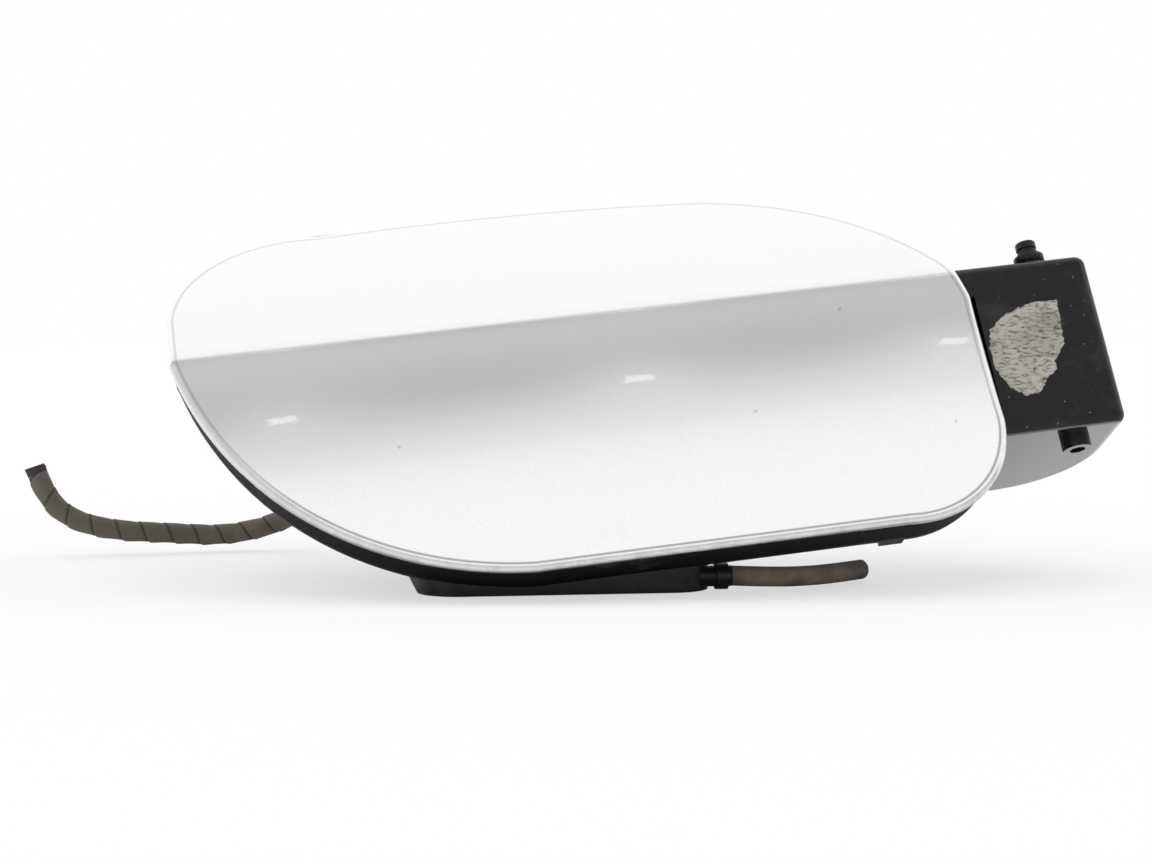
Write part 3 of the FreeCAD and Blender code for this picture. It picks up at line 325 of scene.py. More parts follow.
class FinishShop:
    """Makes each finish once and hands it out."""

    COAT_ROUGHNESS = 0.03
    DUST_SCALE = 55.0
    DUST_ROUGHNESS = 0.35
    DUST_THRESHOLD = 0.66
    DUST_SPREAD = 0.32
    DUST_FADE = 0.22
    DUST_LEAST = 0.25

    def __init__(self) -> None:
        """Starts with no material made."""
        self.made: dict[str, bpy.types.Material] = {}

    def get(self, finish: Finish) -> bpy.types.Material:
        """Material of a finish.

        Args:
            finish: The finish.

        Returns:
            The Blender material.
        """
        if finish.name not in self.made:
            self.made[finish.name] = self._make(finish)
        return self.made[finish.name]

    def _make(self, finish: Finish) -> bpy.types.Material:
        """Makes the material: base colour, patches of dust and the grain.

        Args:
            finish: The finish.

        Returns:
            The Blender material.
        """
        shader = Shader(finish.name)
        inputs = shader.bsdf.inputs
        inputs["Metallic"].default_value = finish.metallic
        inputs["Coat Weight"].default_value = finish.coat
        inputs["Specular IOR Level"].default_value = finish.specular
        inputs["Coat Roughness"].default_value = self.COAT_ROUGHNESS
        edge = self.DUST_THRESHOLD - self.DUST_SPREAD * finish.dust
        full = min(edge + self.DUST_FADE, 0.99)
        patches = shader.noise(self.DUST_SCALE, 6.0, 0.62)
        cover = shader.ramp(patches, ((edge, 0.0), (full, min(self.DUST_LEAST + finish.dust, 1.0))))
        colour = shader.mix(cover, finish.base, finish.dust_colour)
        rough = shader.math("ADD", shader.math("MULTIPLY", cover, self.DUST_ROUGHNESS), finish.roughness)
        if finish.grain is Grain.PAINT:
            colour = self._paint(shader, colour)
        elif finish.grain is Grain.TAPE:
            colour = self._tape(shader, colour)
        elif finish.grain is Grain.MOULDED:
            colour = self._specks(shader, colour)
            shader.bump(shader.noise(2600.0, 2.0), 0.00005, 0.5)
        elif finish.grain is Grain.SOFT:
            shader.bump(shader.noise(900.0, 4.0), 0.0001, 0.6)
        elif finish.grain is Grain.PAPER:
            colour = self._wrinkles(shader, colour)
        shader.link(colour, inputs["Base Color"])
        shader.link(rough, inputs["Roughness"])
        return shader.material

    def _paint(self, shader: Shader, colour: Socket) -> Socket:
        """Metal flakes, grime along the lower edge, painted shade in a thin line just inside the rolled
        edge, and small chips.

        Args:
            shader: The material being made.
            colour: Colour of the paint.

        Returns:
            The colour with these marks.
        """
        low = shader.attribute("low")
        from_edge = shader.math("MULTIPLY", shader.attribute("edge_mm"), 0.1)
        streaks = shader.ramp(shader.noise(240.0, 5.0, 0.7), ((0.38, 0.0), (0.66, 1.0)))
        near = shader.ramp(from_edge, ((0.0, 0.85), (0.09, 0.45), (0.24, 0.0)))
        grime = shader.math("MULTIPLY", shader.math("MULTIPLY", near, low), streaks)
        flakes = shader.ramp(shader.noise(2600.0, 2.0), ((0.35, 0.16), (0.6, 0.0)))
        colour = shader.mix(flakes, colour, (0.52, 0.53, 0.55))
        colour = shader.mix(shader.math("MULTIPLY", grime, 0.5), colour, (0.30, 0.31, 0.12))
        shader.bump(shader.noise(7000.0, 1.0), 0.00001, 0.35)
        # Painted shade: a thin grey line just inside the rolled edge, full towards the bottom of the flap
        # and at 45% above.
        painted_edge_shade = shader.ramp(from_edge, ((0.155, 0.0), (0.19, 0.75), (0.215, 0.75), (0.25, 0.0)))
        painted_edge_shade = shader.math("MULTIPLY", painted_edge_shade, shader.math("MAXIMUM", low, 0.45))
        colour = shader.mix(painted_edge_shade, colour, (0.16, 0.16, 0.15))
        return shader.mix(shader.attribute("chips"), colour, (0.16, 0.155, 0.145))

    def _specks(self, shader: Shader, colour: Socket) -> Socket:
        """Scuffed haze and sparse pale specks of dust.

        Args:
            shader: The material being made.
            colour: Colour of the plastic.

        Returns:
            The colour with haze and specks.
        """
        haze = shader.ramp(shader.noise(75.0, 6.0, 0.72), ((0.50, 0.0), (0.74, 0.55)))
        colour = shader.mix(haze, colour, (0.055, 0.053, 0.05))
        cells = shader.node("ShaderNodeTexVoronoi")
        cells.inputs["Scale"].default_value = 620.0
        shader.link(shader.coord, cells.inputs["Vector"])
        near = shader.ramp(cells.outputs["Distance"], ((0.05, 1.0), (0.14, 0.0)))
        chosen = shader.ramp(cells.outputs["Color"], ((0.70, 0.0), (0.73, 0.8)))
        return shader.mix(shader.math("MULTIPLY", near, chosen), colour, (0.33, 0.32, 0.29))

    def _wrinkles(self, shader: Shader, colour: Socket) -> Socket:
        """Fine creases of old paper, drawn out along its width, with the colour darker in their hollows.

        Args:
            shader: The material being made.
            colour: Colour of the paper.

        Returns:
            The colour with dark creases.
        """
        stretch = shader.node("ShaderNodeMapping")
        stretch.inputs["Scale"].default_value = (0.35, 1.0, 1.0)
        shader.link(shader.coord, stretch.inputs["Vector"])
        creases = shader.noise(1500.0, 6.0, 0.7, stretch.outputs["Vector"])
        shader.bump(creases, 0.0003, 1.0)
        return shader.mix(shader.ramp(creases, ((0.36, 0.9), (0.52, 0.0))), colour, (0.07, 0.066, 0.06))

    def _tape(self, shader: Shader, colour: Socket) -> Socket:
        """Weave of the cloth tape and painted shade in a dark line at the edge of each turn.

        Args:
            shader: The material being made.
            colour: Colour of the tape.

        Returns:
            The colour with the painted shade lines.
        """
        shader.bump(shader.noise(1500.0, 3.0), 0.0002, 0.7)
        # Painted shade where each turn of tape steps over the one below; the cut end takes the same dark
        # colour.
        stops = ((0.0, 0.85), (0.05, 0.75), (0.16, 0.0), (0.97, 0.0), (1.0, 0.3))
        turn_edge_shade = shader.ramp(shader.attribute("turn_share"), stops)
        return shader.mix(turn_edge_shade, colour, (0.022, 0.019, 0.015))


@dataclass(frozen=True)
class FlapFrame:
    """Frame of the flap: u along the crease, v up beside the hinge axis and n outwards, in millimetres."""

    crease: Point = (4.0, -18.0, 68.5)
    roll: float = 6.37
    lean: float = 65.0

    def axes(self) -> tuple[np.ndarray, np.ndarray, np.ndarray]:
        """Unit directions of u, v and n in the row frame.

        Returns:
            The three directions.
        """
        roll, lean = math.radians(self.roll), math.radians(self.lean)
        along = np.array([math.cos(roll), 0.0, math.sin(roll)])
        rise = math.sin(lean)
        upward = np.array([-math.sin(roll) * rise, math.cos(lean), math.cos(roll) * rise])
        return along, upward, np.cross(along, upward)

    def to_row(self, u: np.ndarray, v: np.ndarray, n: np.ndarray) -> np.ndarray:
        """Carries points of the flap frame into the row frame.

        Args:
            u: Places along the crease.
            v: Places up the flap.
            n: Places outwards.

        Returns:
            Points in metres, one per row.
        """
        along, upward, outward = self.axes()
        points = np.array(self.crease) + u[:, None] * along + v[:, None] * upward + n[:, None] * outward
        return points * MM


def add_grid(name: str, rows: np.ndarray, wrap: bool = False, flip: bool = False) -> bpy.types.Object:
    """Mesh over a grid of points.

    Args:
        name: Name of the object.
        rows: Points in metres, shaped (rows, columns, 3).
        wrap: Whether the last column joins the first.
        flip: Whether the faces are turned to the other side.

    Returns:
        The new object, at the origin.
    """
    count, width = rows.shape[:2]
    index = np.arange(count * width).reshape(count, width)
    right = np.roll(index, -1, axis=1) if wrap else index[:, 1:]
    left = index if wrap else index[:, :-1]
    quads = np.stack([left[:-1], right[:-1], right[1:], left[1:]], axis=-1).reshape(-1, 4)
    quads = quads[:, ::-1] if flip else quads
    mesh = bpy.data.meshes.new(name)
    mesh.from_pydata(rows.reshape(-1, 3).tolist(), [], quads.tolist())
    mesh.polygons.foreach_set("use_smooth", np.ones(len(mesh.polygons), dtype=bool))
    mesh.update()
    obj = bpy.data.objects.new(name, mesh)
    bpy.context.scene.collection.objects.link(obj)
    return obj


def add_field(obj: bpy.types.Object, name: str, values: np.ndarray) -> None:
    """Stores a value at each vertex.

    Args:
        obj: The mesh object.
        name: Name of the attribute.
        values: One value per vertex.
    """
    attribute = obj.data.attributes.new(name, "FLOAT", "POINT")
    attribute.data.foreach_set("value", values.astype(np.float32).ravel())


def arc_points(start: tuple, middle: tuple, end: tuple, count: int) -> np.ndarray:
    """Points along the arc through three points.

    Args:
        start: First point.
        middle: A point between them.
        end: Last point.
        count: Number of points, without the last.

    Returns:
        The points, shaped (count, 2).
    """
    a, b, c = (complex(*point) for point in (start, middle, end))
    w = (c - a) / (b - a)
    centre = a + (b - a) * (w - abs(w) ** 2) / (2j * w.imag)
    radius = a - centre
    sweep = np.angle((c - centre) / radius)
    through = np.angle((b - centre) / radius)
    if sweep * through < 0 or abs(through) > abs(sweep):
        sweep -= math.copysign(FULL_TURN, sweep)
    points = centre + radius * np.exp(1j * np.linspace(0.0, sweep, count, endpoint=False))
    return np.stack([points.real, points.imag], axis=-1)


def eased(count: int) -> np.ndarray:
    """Shares from 0 to 1 that lie closer at both ends."""
    return 0.5 - 0.5 * np.cos(np.linspace(0.0, math.pi, count))


@dataclass
class FlapSkin:
    """Painted skin of the flap, with a soft crease and a rolled edge."""

    shop: FinishShop
    place: FlapFrame = field(default_factory=FlapFrame)
    lower_radius: float = 200.0
    lower_start: float = -2.0
    shoulder_radius: float = 668.0
    shoulder_start: float = -37.0
    crease_softness: float = 0.9
    crease_band: float = 3.0
    crease_rows: int = 25
    roll_radius: float = 1.5
    edge_depth: float = 2.55
    hem_width: float = 6.0
    hem_bend: float = 0.3
    grime_and_shade_start: float = 22.0
    grime_and_shade_span: float = 25.0
    across: int = 260
    along: int = 320
    batches: int = 24
    line_points: int = 60
    arc_steps: int = 90
    chip_marks: tuple[Point, ...] = (
        (-49.2, -27.9, 0.3), (-47.7, -31.0, 0.25), (3.9, -13.3, 0.25), (40.3, -33.1, 0.25),
        (56.1, -18.0, 0.3), (67.2, -8.0, 0.3), (89.2, -42.6, 0.25),
    )
    chip_softness: float = 0.35
    chip_strength: float = 0.4

    def outline(self) -> np.ndarray:
        """Outline of the flap in u and v.

        Returns:
            A closed run of points.
        """
        straight = (
            ((-20.0, -69.0), (71.0, -69.0)),
            ((102.0, -43.5), (102.0, -8.0)),
            ((-101.0, 14.0), (-100.5, -2.0)),
        )
        bends = (
            ((71.0, -69.0), (94.2, -60.4), (102.0, -43.5)),
            ((102.0, -8.0), (86.0, 22.0), (40.0, 46.2)),
            ((40.0, 46.2), (-12.0, 49.8), (-60.0, 48.4)),
            ((-60.0, 48.4), (-92.7, 35.5), (-101.0, 14.0)),
            ((-100.5, -2.0), (-78.7, -41.0), (-20.0, -69.0)),
        )
        lines = [np.linspace(a, b, self.line_points, endpoint=False) for a, b in straight]
        arcs = [arc_points(*bend, self.arc_steps) for bend in bends]
        return np.concatenate([lines[0], arcs[0], lines[1], *arcs[1:4], lines[2], arcs[4]])

    def surface(self, v: np.ndarray) -> np.ndarray:
        """Outer surface of the flap: the two arcs with a soft crease between them.

        Args:
            v: Places up the flap.

        Returns:
            Places outwards.
        """
        low, high = math.radians(self.lower_start), math.radians(self.shoulder_start)
        low_v, low_n = self.lower_radius * math.sin(low), self.lower_radius * math.cos(low)
        high_v, high_n = self.shoulder_radius * math.sin(high), -self.shoulder_radius * math.cos(high)
        hollow = low_n - np.sqrt(np.maximum(self.lower_radius**2 - (v - low_v) ** 2, 1.0))
        shoulder = high_n + np.sqrt(np.maximum(self.shoulder_radius**2 - (v - high_v) ** 2, 1.0))
        return 0.5 * (hollow + shoulder - np.sqrt((hollow - shoulder) ** 2 + self.crease_softness**2))

    def edge_distance(self, points: np.ndarray, outline: np.ndarray) -> np.ndarray:
        """Distance of points to the outline.

        Args:
            points: Points in u and v.
            outline: Outline of the flap.

        Returns:
            One distance per point, in millimetres.
        """
        run = np.roll(outline, -1, axis=0) - outline
        rel = points[:, None, :] - outline[None]
        share = np.clip((rel * run).sum(-1) / (run * run).sum(-1), 0.0, 1.0)
        return np.linalg.norm(rel - share[..., None] * run, axis=-1).min(axis=1)

    def drop(self, distance: np.ndarray) -> np.ndarray:
        """Fall of the rolled edge at a distance from the outline."""
        inward = np.clip(self.roll_radius - distance, 0.0, self.roll_radius)
        return self.roll_radius - np.sqrt(self.roll_radius**2 - inward**2)

    def levels(self, outline: np.ndarray) -> np.ndarray:
        """Heights of the rows of the skin, closer at both ends and at the crease.

        Args:
            outline: Outline of the flap.

        Returns:
            The heights in v, rising.
        """
        low, high = outline[:, 1].min(), outline[:, 1].max()
        crease = np.linspace(-self.crease_band, self.crease_band, self.crease_rows)
        return np.sort(np.concatenate([low + (high - low) * eased(self.across), crease]))

    def sides(self, outline: np.ndarray, levels: np.ndarray) -> tuple[np.ndarray, np.ndarray]:
        """Left and right ends of the outline at each level.

        Args:
            outline: Outline of the flap.
            levels: Heights in v.

        Returns:
            The left ends and the right ends in u.
        """
        following = np.roll(outline, -1, axis=0)
        below = outline[:, 1][None] - levels[:, None]
        above = following[:, 1][None] - levels[:, None]
        fall = below - above
        share = np.where(np.abs(fall) > 1e-9, below / np.where(fall == 0.0, 1.0, fall), 0.0)
        u = outline[:, 0] + share * (following[:, 0] - outline[:, 0])
        crosses = below * above <= 0
        return np.where(crosses, u, np.inf).min(axis=1), np.where(crosses, u, -np.inf).max(axis=1)

    def low_share(self, v: np.ndarray) -> np.ndarray:
        """Share of the grime and of the painted edge shade at a height, full at the bottom of the flap."""
        return np.clip((-v - self.grime_and_shade_start) / self.grime_and_shade_span, 0.0, 1.0)

    def chips(self, flat: np.ndarray) -> np.ndarray:
        """Small stone chips in the paint.

        Args:
            flat: Points in u and v.

        Returns:
            Strength of the chip at each point.
        """
        marks = np.array(self.chip_marks)
        away = np.hypot(flat[:, 0, None] - marks[:, 0], flat[:, 1, None] - marks[:, 1])
        return np.clip((marks[:, 2] - away) / self.chip_softness + 0.2, 0.0, self.chip_strength).max(axis=1)

    def build(self) -> bpy.types.Object:
        """Makes the skin and its folded edge.

        Returns:
            The object that stands for flap_skin.
        """
        outline = self.outline()
        levels = self.levels(outline)
        left, right = self.sides(outline, levels)
        u = left[:, None] + (right - left)[:, None] * eased(self.along)[None]
        v = np.repeat(levels[:, None], self.along, axis=1)
        flat = np.stack([u.ravel(), v.ravel()], axis=-1)
        parts = np.array_split(flat, self.batches)
        distance = np.concatenate([self.edge_distance(part, outline) for part in parts])
        n = self.surface(flat[:, 1]) - self.drop(distance)
        rows = self.place.to_row(flat[:, 0], flat[:, 1], n).reshape(*u.shape, 3)
        skin = add_grid("flap_skin_paint", rows)
        add_field(skin, "edge_mm", distance)
        add_field(skin, "low", self.low_share(flat[:, 1]))
        add_field(skin, "chips", self.chips(flat))
        skin.data.materials.append(self.shop.get(SILVER))
        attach(skin, Body.FLAP.value)
        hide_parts("flap_skin")
        self.fold(outline)
        return skin

    def fold(self, outline: np.ndarray) -> bpy.types.Object:
        """Outer wall of the folded edge and the hem behind it.

        Args:
            outline: Outline of the flap.

        Returns:
            The strip that follows the edge.
        """
        tangent = np.roll(outline, -1, axis=0) - np.roll(outline, 1, axis=0)
        tangent /= np.linalg.norm(tangent, axis=1, keepdims=True)
        inward = np.stack([-tangent[:, 1], tangent[:, 0]], axis=-1)
        steps = (
            (0.0, self.roll_radius), (0.0, self.edge_depth - self.hem_bend),
            (self.hem_bend, self.edge_depth), (self.hem_width, self.edge_depth),
        )
        rings = []
        for inset, depth in steps:
            ring = outline + inward * inset
            rings.append(self.place.to_row(ring[:, 0], ring[:, 1], self.surface(outline[:, 1]) - depth))
        strip = add_grid("flap_edge", np.array(rings), wrap=True, flip=True)
        paint_edge = np.array([0.6, 0.2, 0.3, self.hem_width])
        add_field(strip, "edge_mm", np.tile(paint_edge[:, None], (1, len(outline))))
        add_field(strip, "low", np.tile(self.low_share(outline[:, 1]), (len(steps), 1)))
        strip.data.materials.append(self.shop.get(SILVER))
        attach(strip, Body.FLAP.value)
        return strip


@dataclass
class HingeLabel:
    """Torn remains of a paper label on the face of the hinge box."""

    shop: FinishShop
    place: FlapFrame = field(default_factory=FlapFrame)
    face_n: float = -3.94
    edge_sink: float = 0.05
    rings: int = 14
    points: int = 224
    tear: float = 0.03
    tear_seed: int = 7
    box_sides: tuple[float, float] = (104.2, 132.0)
    edge: tuple[tuple[float, float], ...] = (
        (105.7, -16.7), (111.5, -12.3), (118.1, -10.3), (125.1, -10.6), (124.7, -18.7), (124.2, -22.9),
        (120.8, -27.0), (120.7, -29.5), (117.5, -31.8), (115.1, -35.1), (111.0, -35.7), (107.6, -33.1),
        (104.9, -27.4), (105.0, -19.9),
    )

    def torn_edge(self) -> tuple[np.ndarray, np.ndarray]:
        """Edge of the paper with its small tears.

        Returns:
            The middle of the paper, and the edge seen from there.
        """
        corners = np.array(self.edge + self.edge[:1])
        reach = np.linspace(0, len(self.edge), self.points, endpoint=False)
        number = np.arange(len(corners))
        ring = np.stack([np.interp(reach, number, corners[:, axis]) for axis in (0, 1)], axis=-1)
        noise = np.random.default_rng(self.tear_seed).normal(0.0, 1.0, self.points)
        jag = np.convolve(np.tile(noise, 3), np.ones(3) / 3.0, "same")[self.points:2 * self.points]
        middle = ring.mean(axis=0)
        return middle, (ring - middle) * (1.0 + self.tear * jag[:, None])

    def build(self) -> bpy.types.Object:
        """Makes the paper as rings that shrink towards its middle.

        Returns:
            The paper object.
        """
        middle, edge = self.torn_edge()
        rows = []
        for share in np.linspace(0.0, 1.0, self.rings):
            loop = middle + edge * (1.0 - share)
            lift = np.full(self.points, self.face_n - self.edge_sink * (share == 0.0))
            rows.append(self.place.to_row(np.clip(loop[:, 0], *self.box_sides), loop[:, 1], lift))
        paper = add_grid("label_paper", np.array(rows), wrap=True, flip=True)
        paper.data.materials.append(self.shop.get(PAPER))
        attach(paper, Body.POCKET.value)
        return paper


@dataclass
class MouldRing:
    """Faint round mark of the mould on the face of the hinge box."""

    shop: FinishShop
    place: FlapFrame = field(default_factory=FlapFrame)
    centre: tuple[float, float] = (126.0, -36.0)
    radius: float = 3.4
    width: float = 0.35
    height: float = 0.12
    sink: float = 0.05
    face_n: float = -4.0
    steps: int = 96

    def build(self) -> bpy.types.Object:
        """Makes the low ring.

        Returns:
            The ring object.
        """
        turn = np.linspace(0.0, FULL_TURN, self.steps, endpoint=False)
        profile = ((-1.0, -self.sink), (-0.5, self.height), (0.5, self.height), (1.0, -self.sink))
        rows = []
        for across, lift in profile:
            reach = self.radius + across * self.width / 2.0
            u = self.centre[0] + reach * np.cos(turn)
            v = self.centre[1] + reach * np.sin(turn)
            rows.append(self.place.to_row(u, v, np.full(self.steps, self.face_n + lift)))
        ring = add_grid("mould_ring", np.array(rows), wrap=True, flip=True)
        ring.data.materials.append(self.shop.get(BLACK_PLASTIC))
        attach(ring, Body.POCKET.value)
        return ring


@dataclass
class PinBush:
    """Bush that stands on the boss of the hinge box, round the head of the pin."""

    shop: FinishShop
    pivot: Point = (130.6, -14.6093, 56.6173)
    axis: Point = (-0.10055356, 0.42261826, 0.90071238)
    bore_radius: float = 2.75
    outer_radius: float = 3.95
    foot: float = 26.2
    top: float = 28.7
    rounding: float = 0.35
    steps: int = 72
    corner_steps: int = 6

    def build(self) -> bpy.types.Object:
        """Turns the closed profile of the bush round the hinge axis.

        Returns:
            The bush object.
        """
        axis = np.array(self.axis)
        side = np.cross(axis, (0.0, 1.0, 0.0))
        side /= np.linalg.norm(side)
        rise = np.cross(axis, side)
        turn = np.linspace(0.0, FULL_TURN, self.steps, endpoint=False)
        corner = np.linspace(0.0, math.pi / 2.0, self.corner_steps)
        rim = self.outer_radius - self.rounding + self.rounding * np.cos(corner)
        crown = self.top - self.rounding + self.rounding * np.sin(corner)
        bore = self.bore_radius
        reach = np.concatenate([[bore, self.outer_radius], rim, [bore, bore]])
        level = np.concatenate([[self.foot, self.foot], crown, [self.top, self.foot]])
        spokes = np.cos(turn)[:, None] * side + np.sin(turn)[:, None] * rise
        rows = np.array(self.pivot) + level[:, None, None] * axis + reach[:, None, None] * spokes[None]
        bush = add_grid("pin_bush", rows * MM, wrap=True)
        bush.data.materials.append(self.shop.get(BLACK_PLASTIC))
        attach(bush, Body.POCKET.value)
        return bush


@dataclass
class Cord:
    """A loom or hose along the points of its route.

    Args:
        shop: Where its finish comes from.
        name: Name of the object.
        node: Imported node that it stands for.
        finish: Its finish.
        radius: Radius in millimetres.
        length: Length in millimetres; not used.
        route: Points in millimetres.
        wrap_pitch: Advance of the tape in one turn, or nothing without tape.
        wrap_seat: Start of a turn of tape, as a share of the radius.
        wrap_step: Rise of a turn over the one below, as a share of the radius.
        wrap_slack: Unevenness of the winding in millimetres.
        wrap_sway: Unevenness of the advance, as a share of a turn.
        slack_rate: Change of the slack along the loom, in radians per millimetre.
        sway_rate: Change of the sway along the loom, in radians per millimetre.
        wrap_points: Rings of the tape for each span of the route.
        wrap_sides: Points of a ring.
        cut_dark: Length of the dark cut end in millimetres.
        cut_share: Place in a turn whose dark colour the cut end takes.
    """

    shop: FinishShop
    name: str
    node: str
    finish: Finish
    radius: float
    length: float
    route: tuple[Point, ...]
    wrap_pitch: float = 0.0
    wrap_seat: float = 1.01
    wrap_step: float = 0.10
    wrap_slack: float = 0.06
    wrap_sway: float = 0.02
    slack_rate: float = 0.9
    sway_rate: float = 0.3
    wrap_points: int = 60
    wrap_sides: int = 72
    cut_dark: float = 2.2
    cut_share: float = 0.02

    def build(self) -> bpy.types.Object:
        """Returns:
            The curve object.
        """
        curve = bpy.data.curves.new(self.name, "CURVE")
        curve.dimensions = "3D"
        spline = curve.splines.new("NURBS")
        spline.points.add(len(self.route) - 1)
        points = np.ones((len(self.route), 4), dtype=np.float32)
        points[:, :3] = np.array(self.route) * MM
        spline.points.foreach_set("co", points.ravel())
        spline.order_u = 3
        spline.use_endpoint_u = True
        spline.resolution_u = 24
        curve.bevel_depth = self.radius * MM
        curve.bevel_resolution = 8
        curve.use_fill_caps = True
        curve.materials.append(self.shop.get(self.finish))
        obj = bpy.data.objects.new(self.name, curve)
        bpy.context.scene.collection.objects.link(obj)
        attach(obj, Body.POCKET.value)
        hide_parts(self.node)
        pieces = [self.wrapping()] if self.wrap_pitch else []
        return obj

    def centreline(self, count: int) -> np.ndarray:
        """Points along the quadratic spline that the curve follows.

        Args:
            count: Points for each span.

        Returns:
            The points in millimetres, one per row.
        """
        route = np.array(self.route)
        middles = (route[1:-2] + route[2:-1]) / 2.0
        starts = np.concatenate([route[:1], middles])[:, None]
        ends = np.concatenate([middles, route[-1:]])[:, None]
        bends = route[1:-1][:, None]
        share = np.linspace(0.0, 1.0, count, endpoint=False)[None, :, None]
        spans = (1 - share) ** 2 * starts + 2 * share * (1 - share) * bends + share**2 * ends
        return np.concatenate([spans.reshape(-1, 3), route[-1:]])

    def wrapping(self) -> bpy.types.Object:
        """Cloth tape wound round the loom, each turn lying over the one before.

        Returns:
            The tape object.
        """
        path = self.centreline(self.wrap_points)
        run = np.gradient(path, axis=0)
        run /= np.linalg.norm(run, axis=1, keepdims=True)
        side = np.cross(run, (0.0, 1.0, 0.0))
        side /= np.linalg.norm(side, axis=1, keepdims=True)
        rise = np.cross(side, run)
        along = np.concatenate([[0.0], np.cumsum(np.linalg.norm(np.diff(path, axis=0), axis=1))])[:, None]
        turn = np.linspace(0.0, FULL_TURN, self.wrap_sides, endpoint=False)[None]
        sway = self.wrap_sway * np.sin(self.sway_rate * along)
        phase = (along / self.wrap_pitch + turn / FULL_TURN + sway) % 1.0
        slack = self.wrap_slack * (1.0 + np.sin(along * self.slack_rate + 2.0 * turn))
        reach = self.radius * (self.wrap_seat + self.wrap_step * phase) + slack
        spokes = np.cos(turn)[..., None] * side[:, None] + np.sin(turn)[..., None] * rise[:, None]
        rows = path[:, None] + reach[..., None] * spokes
        tape = add_grid(self.name + "_wrap", rows * MM, wrap=True, flip=True)
        cut = along > along[-1] - self.cut_dark
        add_field(tape, "turn_share", np.where(cut, self.cut_share, phase))
        tape.data.materials.append(self.shop.get(self.finish))
        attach(tape, Body.POCKET.value)
        return tape


@dataclass
class PackedPieces:
    """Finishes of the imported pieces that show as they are."""

    shop: FinishShop
    place: FlapFrame = field(default_factory=FlapFrame)
    gloss_below_v: float = -40.0
    gloss_right_of_x: float = 98.0
    gloss_facing: float = 0.9

    def dress(self) -> None:
        """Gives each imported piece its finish."""
        for name, finish in NODE_FINISH.items():
            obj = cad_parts[name]
            obj.data.materials.clear()
            obj.data.materials.append(self.shop.get(finish))
            LOG.info("dressed %s in %s", name, finish.name)
        self._gloss()

    def _gloss(self) -> None:
        """Gives the end wall of the hinge box its glossier finish."""
        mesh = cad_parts["filler_pocket"].data
        mesh.materials.append(self.shop.get(GLOSS_WALL))
        normals = np.zeros(len(mesh.polygons) * 3, dtype=np.float32)
        centres = np.zeros(len(mesh.polygons) * 3, dtype=np.float32)
        mesh.polygons.foreach_get("normal", normals)
        mesh.polygons.foreach_get("center", centres)
        _, upward, _ = self.place.axes()
        centres = centres.reshape(-1, 3)
        faces_down = normals.reshape(-1, 3) @ upward < -self.gloss_facing
        low = (centres - np.array(self.place.crease) * MM) @ upward < self.gloss_below_v * MM
        right = centres[:, 0] > self.gloss_right_of_x * MM
        mesh.polygons.foreach_set("material_index", (faces_down & low & right).astype(np.int32))


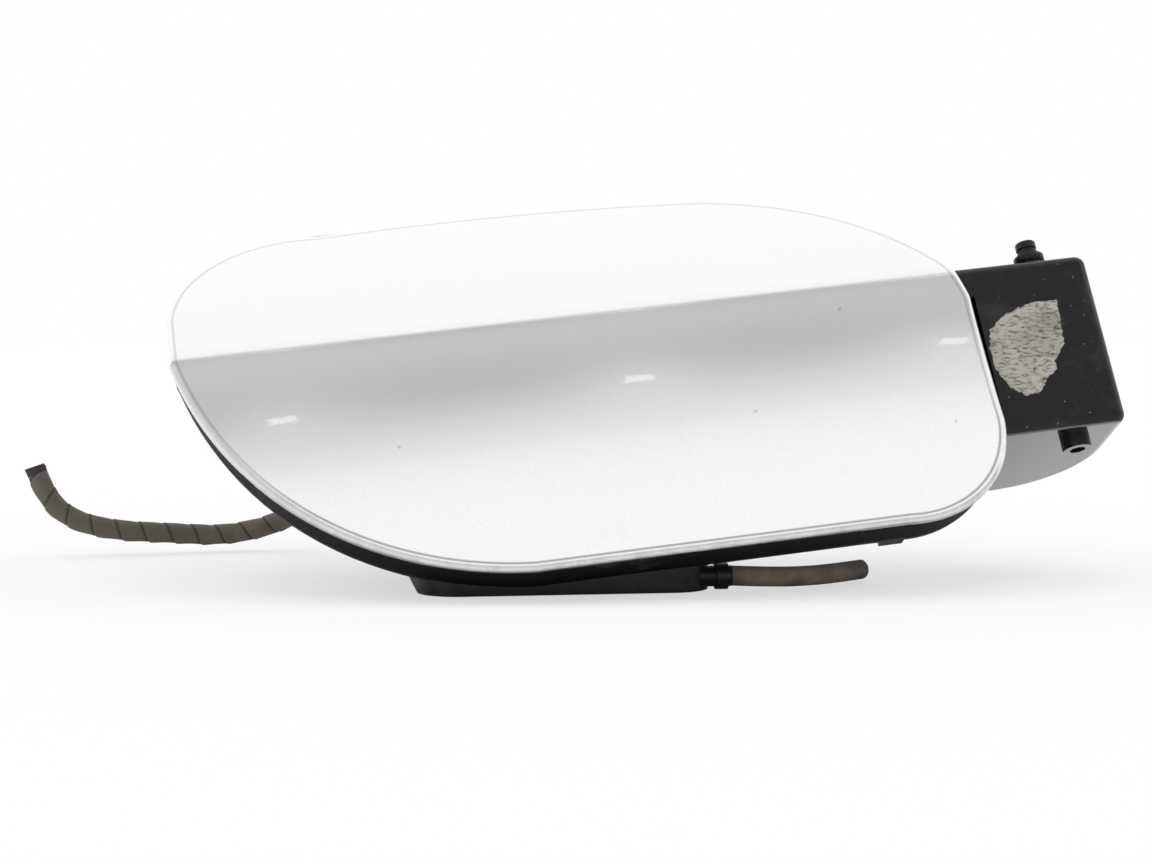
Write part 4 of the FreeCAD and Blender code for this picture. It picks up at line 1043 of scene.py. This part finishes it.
@dataclass
class Studio:
    """Pale floor, soft light and the camera of the photo."""

    place: FlapFrame = field(default_factory=FlapFrame)
    camera_mm: Point = (-71.83, -563.59, 71.15)
    pitch_down: float = 3.43
    azimuth: float = -8.0
    lens: float = 68.75
    sensor: float = 36.0
    sky: Stops = (
        (0.0, 0.66), (0.24, 0.62), (0.27, 0.52), (0.293, 0.33), (0.303, 0.33), (0.318, 0.68), (0.34, 0.76),
        (0.346, 1.0), (1.0, 1.0),
    )
    strength: float = 1.22
    floor_half: float = 3.0
    floor_z: float = -0.0002
    floor_white: float = 0.6
    glint_u: tuple[float, ...] = (-74.6, 13.6, 94.5)
    glint_v: float = -20.4
    glint_n: float = 0.4
    lamp_tilt: float = 3.85
    lamp_away: float = 1.2
    lamp_size: tuple[float, float] = (0.022, 0.014)
    lamp_strength: float = 9.0

    def build(self) -> None:
        """Sets up the floor, the lamps, the world and the camera."""
        self._floor()
        self._lamps()
        self._world()
        self._camera()
        bpy.context.scene.view_settings.view_transform = "Standard"

    def _floor(self) -> None:
        """Lays the pale floor."""
        x, y = np.meshgrid(*[(-self.floor_half, self.floor_half)] * 2)
        floor = add_grid("floor", np.stack([x, y, np.full_like(x, self.floor_z)], axis=-1))
        shader = Shader("floor_white")
        shader.bsdf.inputs["Base Color"].default_value = (0.93, 0.93, 0.93, 1.0)
        shader.bsdf.inputs["Roughness"].default_value = 0.9
        shader.bsdf.inputs["Specular IOR Level"].default_value = 0.1
        self._lift_white(shader)
        floor.data.materials.append(shader.material)

    def _lift_white(self, shader: Shader) -> None:
        """Lifts the floor towards white for the camera alone, so that its shadows stay faint.

        Args:
            shader: Material of the floor.
        """
        glow = shader.node("ShaderNodeEmission")
        glow.inputs["Color"].default_value = WHITE
        seen = shader.node("ShaderNodeLightPath").outputs["Is Camera Ray"]
        share = shader.math("MULTIPLY", seen, self.floor_white)
        lifted = shader.blend(share, shader.bsdf.outputs["BSDF"], glow.outputs["Emission"])
        shader.link(lifted, shader.out.inputs["Surface"])

    def _lamps(self) -> None:
        """Hangs small lamps behind the camera, whose glints lie in a row under the crease."""
        shader = Shader("lamp")
        glow = shader.node("ShaderNodeEmission")
        glow.inputs["Strength"].default_value = self.lamp_strength
        shader.link(glow.outputs["Emission"], shader.out.inputs["Surface"])
        camera = np.array(self.camera_mm) * MM
        _, upward, outward = self.place.axes()
        tilt = math.radians(self.lamp_tilt)
        normal = math.cos(tilt) * outward + math.sin(tilt) * upward
        for number, u in enumerate(self.glint_u):
            spot = self.place.to_row(*(np.array([value]) for value in (u, self.glint_v, self.glint_n)))[0]
            ray = (spot - camera) / np.linalg.norm(spot - camera)
            back = ray - 2.0 * ray.dot(normal) * normal
            across = np.cross(back, (0.0, 0.0, 1.0))
            across /= np.linalg.norm(across)
            wide = self.lamp_size[0] * across / 2.0
            tall = self.lamp_size[1] * np.cross(across, back) / 2.0
            middle = spot + back * self.lamp_away
            lower, upper = middle - tall, middle + tall
            rows = np.array([[lower - wide, lower + wide], [upper - wide, upper + wide]])
            lamp = add_grid(f"lamp_{number}", rows)
            lamp.data.materials.append(shader.material)

    def _world(self) -> None:
        """Makes the light that changes with height round the object, and the white that the camera sees."""
        world = bpy.data.worlds.new("studio")
        bpy.context.scene.world = world
        world.use_nodes = True
        nodes = NodeBuilder(world.node_tree)
        out = nodes.node("ShaderNodeOutputWorld")
        light = nodes.node("ShaderNodeBackground")
        light.inputs["Strength"].default_value = self.strength
        white = nodes.node("ShaderNodeBackground")
        white.inputs["Color"].default_value = WHITE
        split = nodes.node("ShaderNodeSeparateXYZ")
        nodes.link(nodes.node("ShaderNodeTexCoord").outputs["Generated"], split.inputs["Vector"])
        towards = nodes.math("MULTIPLY", split.outputs["Y"], -1.0)
        height = nodes.math("DIVIDE", nodes.math("ARCTAN2", split.outputs["Z"], towards), math.pi)
        nodes.link(nodes.ramp(height, self.sky), light.inputs["Color"])
        seen = nodes.node("ShaderNodeLightPath").outputs["Is Camera Ray"]
        mixed = nodes.blend(seen, light.outputs["Background"], white.outputs["Background"])
        nodes.link(mixed, out.inputs["Surface"])

    def _camera(self) -> None:
        """Sets the camera where the photo was taken from."""
        data = bpy.data.cameras.new("camera")
        data.lens = self.lens
        data.sensor_width = self.sensor
        camera = bpy.data.objects.new("camera", data)
        camera.location = Vector(self.camera_mm) * MM
        camera.rotation_euler = (math.radians(90.0 - self.pitch_down), 0.0, math.radians(self.azimuth))
        bpy.context.scene.collection.objects.link(camera)
        bpy.context.scene.camera = camera


def main() -> None:
    logging.basicConfig(level=logging.INFO)
    shop = FinishShop()
    PackedPieces(shop).dress()
    pieces = (
        FlapSkin(shop),
        HingeLabel(shop),
        MouldRing(shop),
        PinBush(shop),
        Cord(shop, "wiring_loom", "wiring_harness", LOOM_TAPE, 2.6, 120.0, LOOM_ROUTE, wrap_pitch=7.2),
        Cord(shop, "drain_tube", "drain_hose", DUSTY_RUBBER, 2.5, 40.4, HOSE_ROUTE),
    )
    for piece in pieces:
        LOG.info("built %s", piece.build().name)
    Studio().build()


if __name__ == "__main__":
    main()
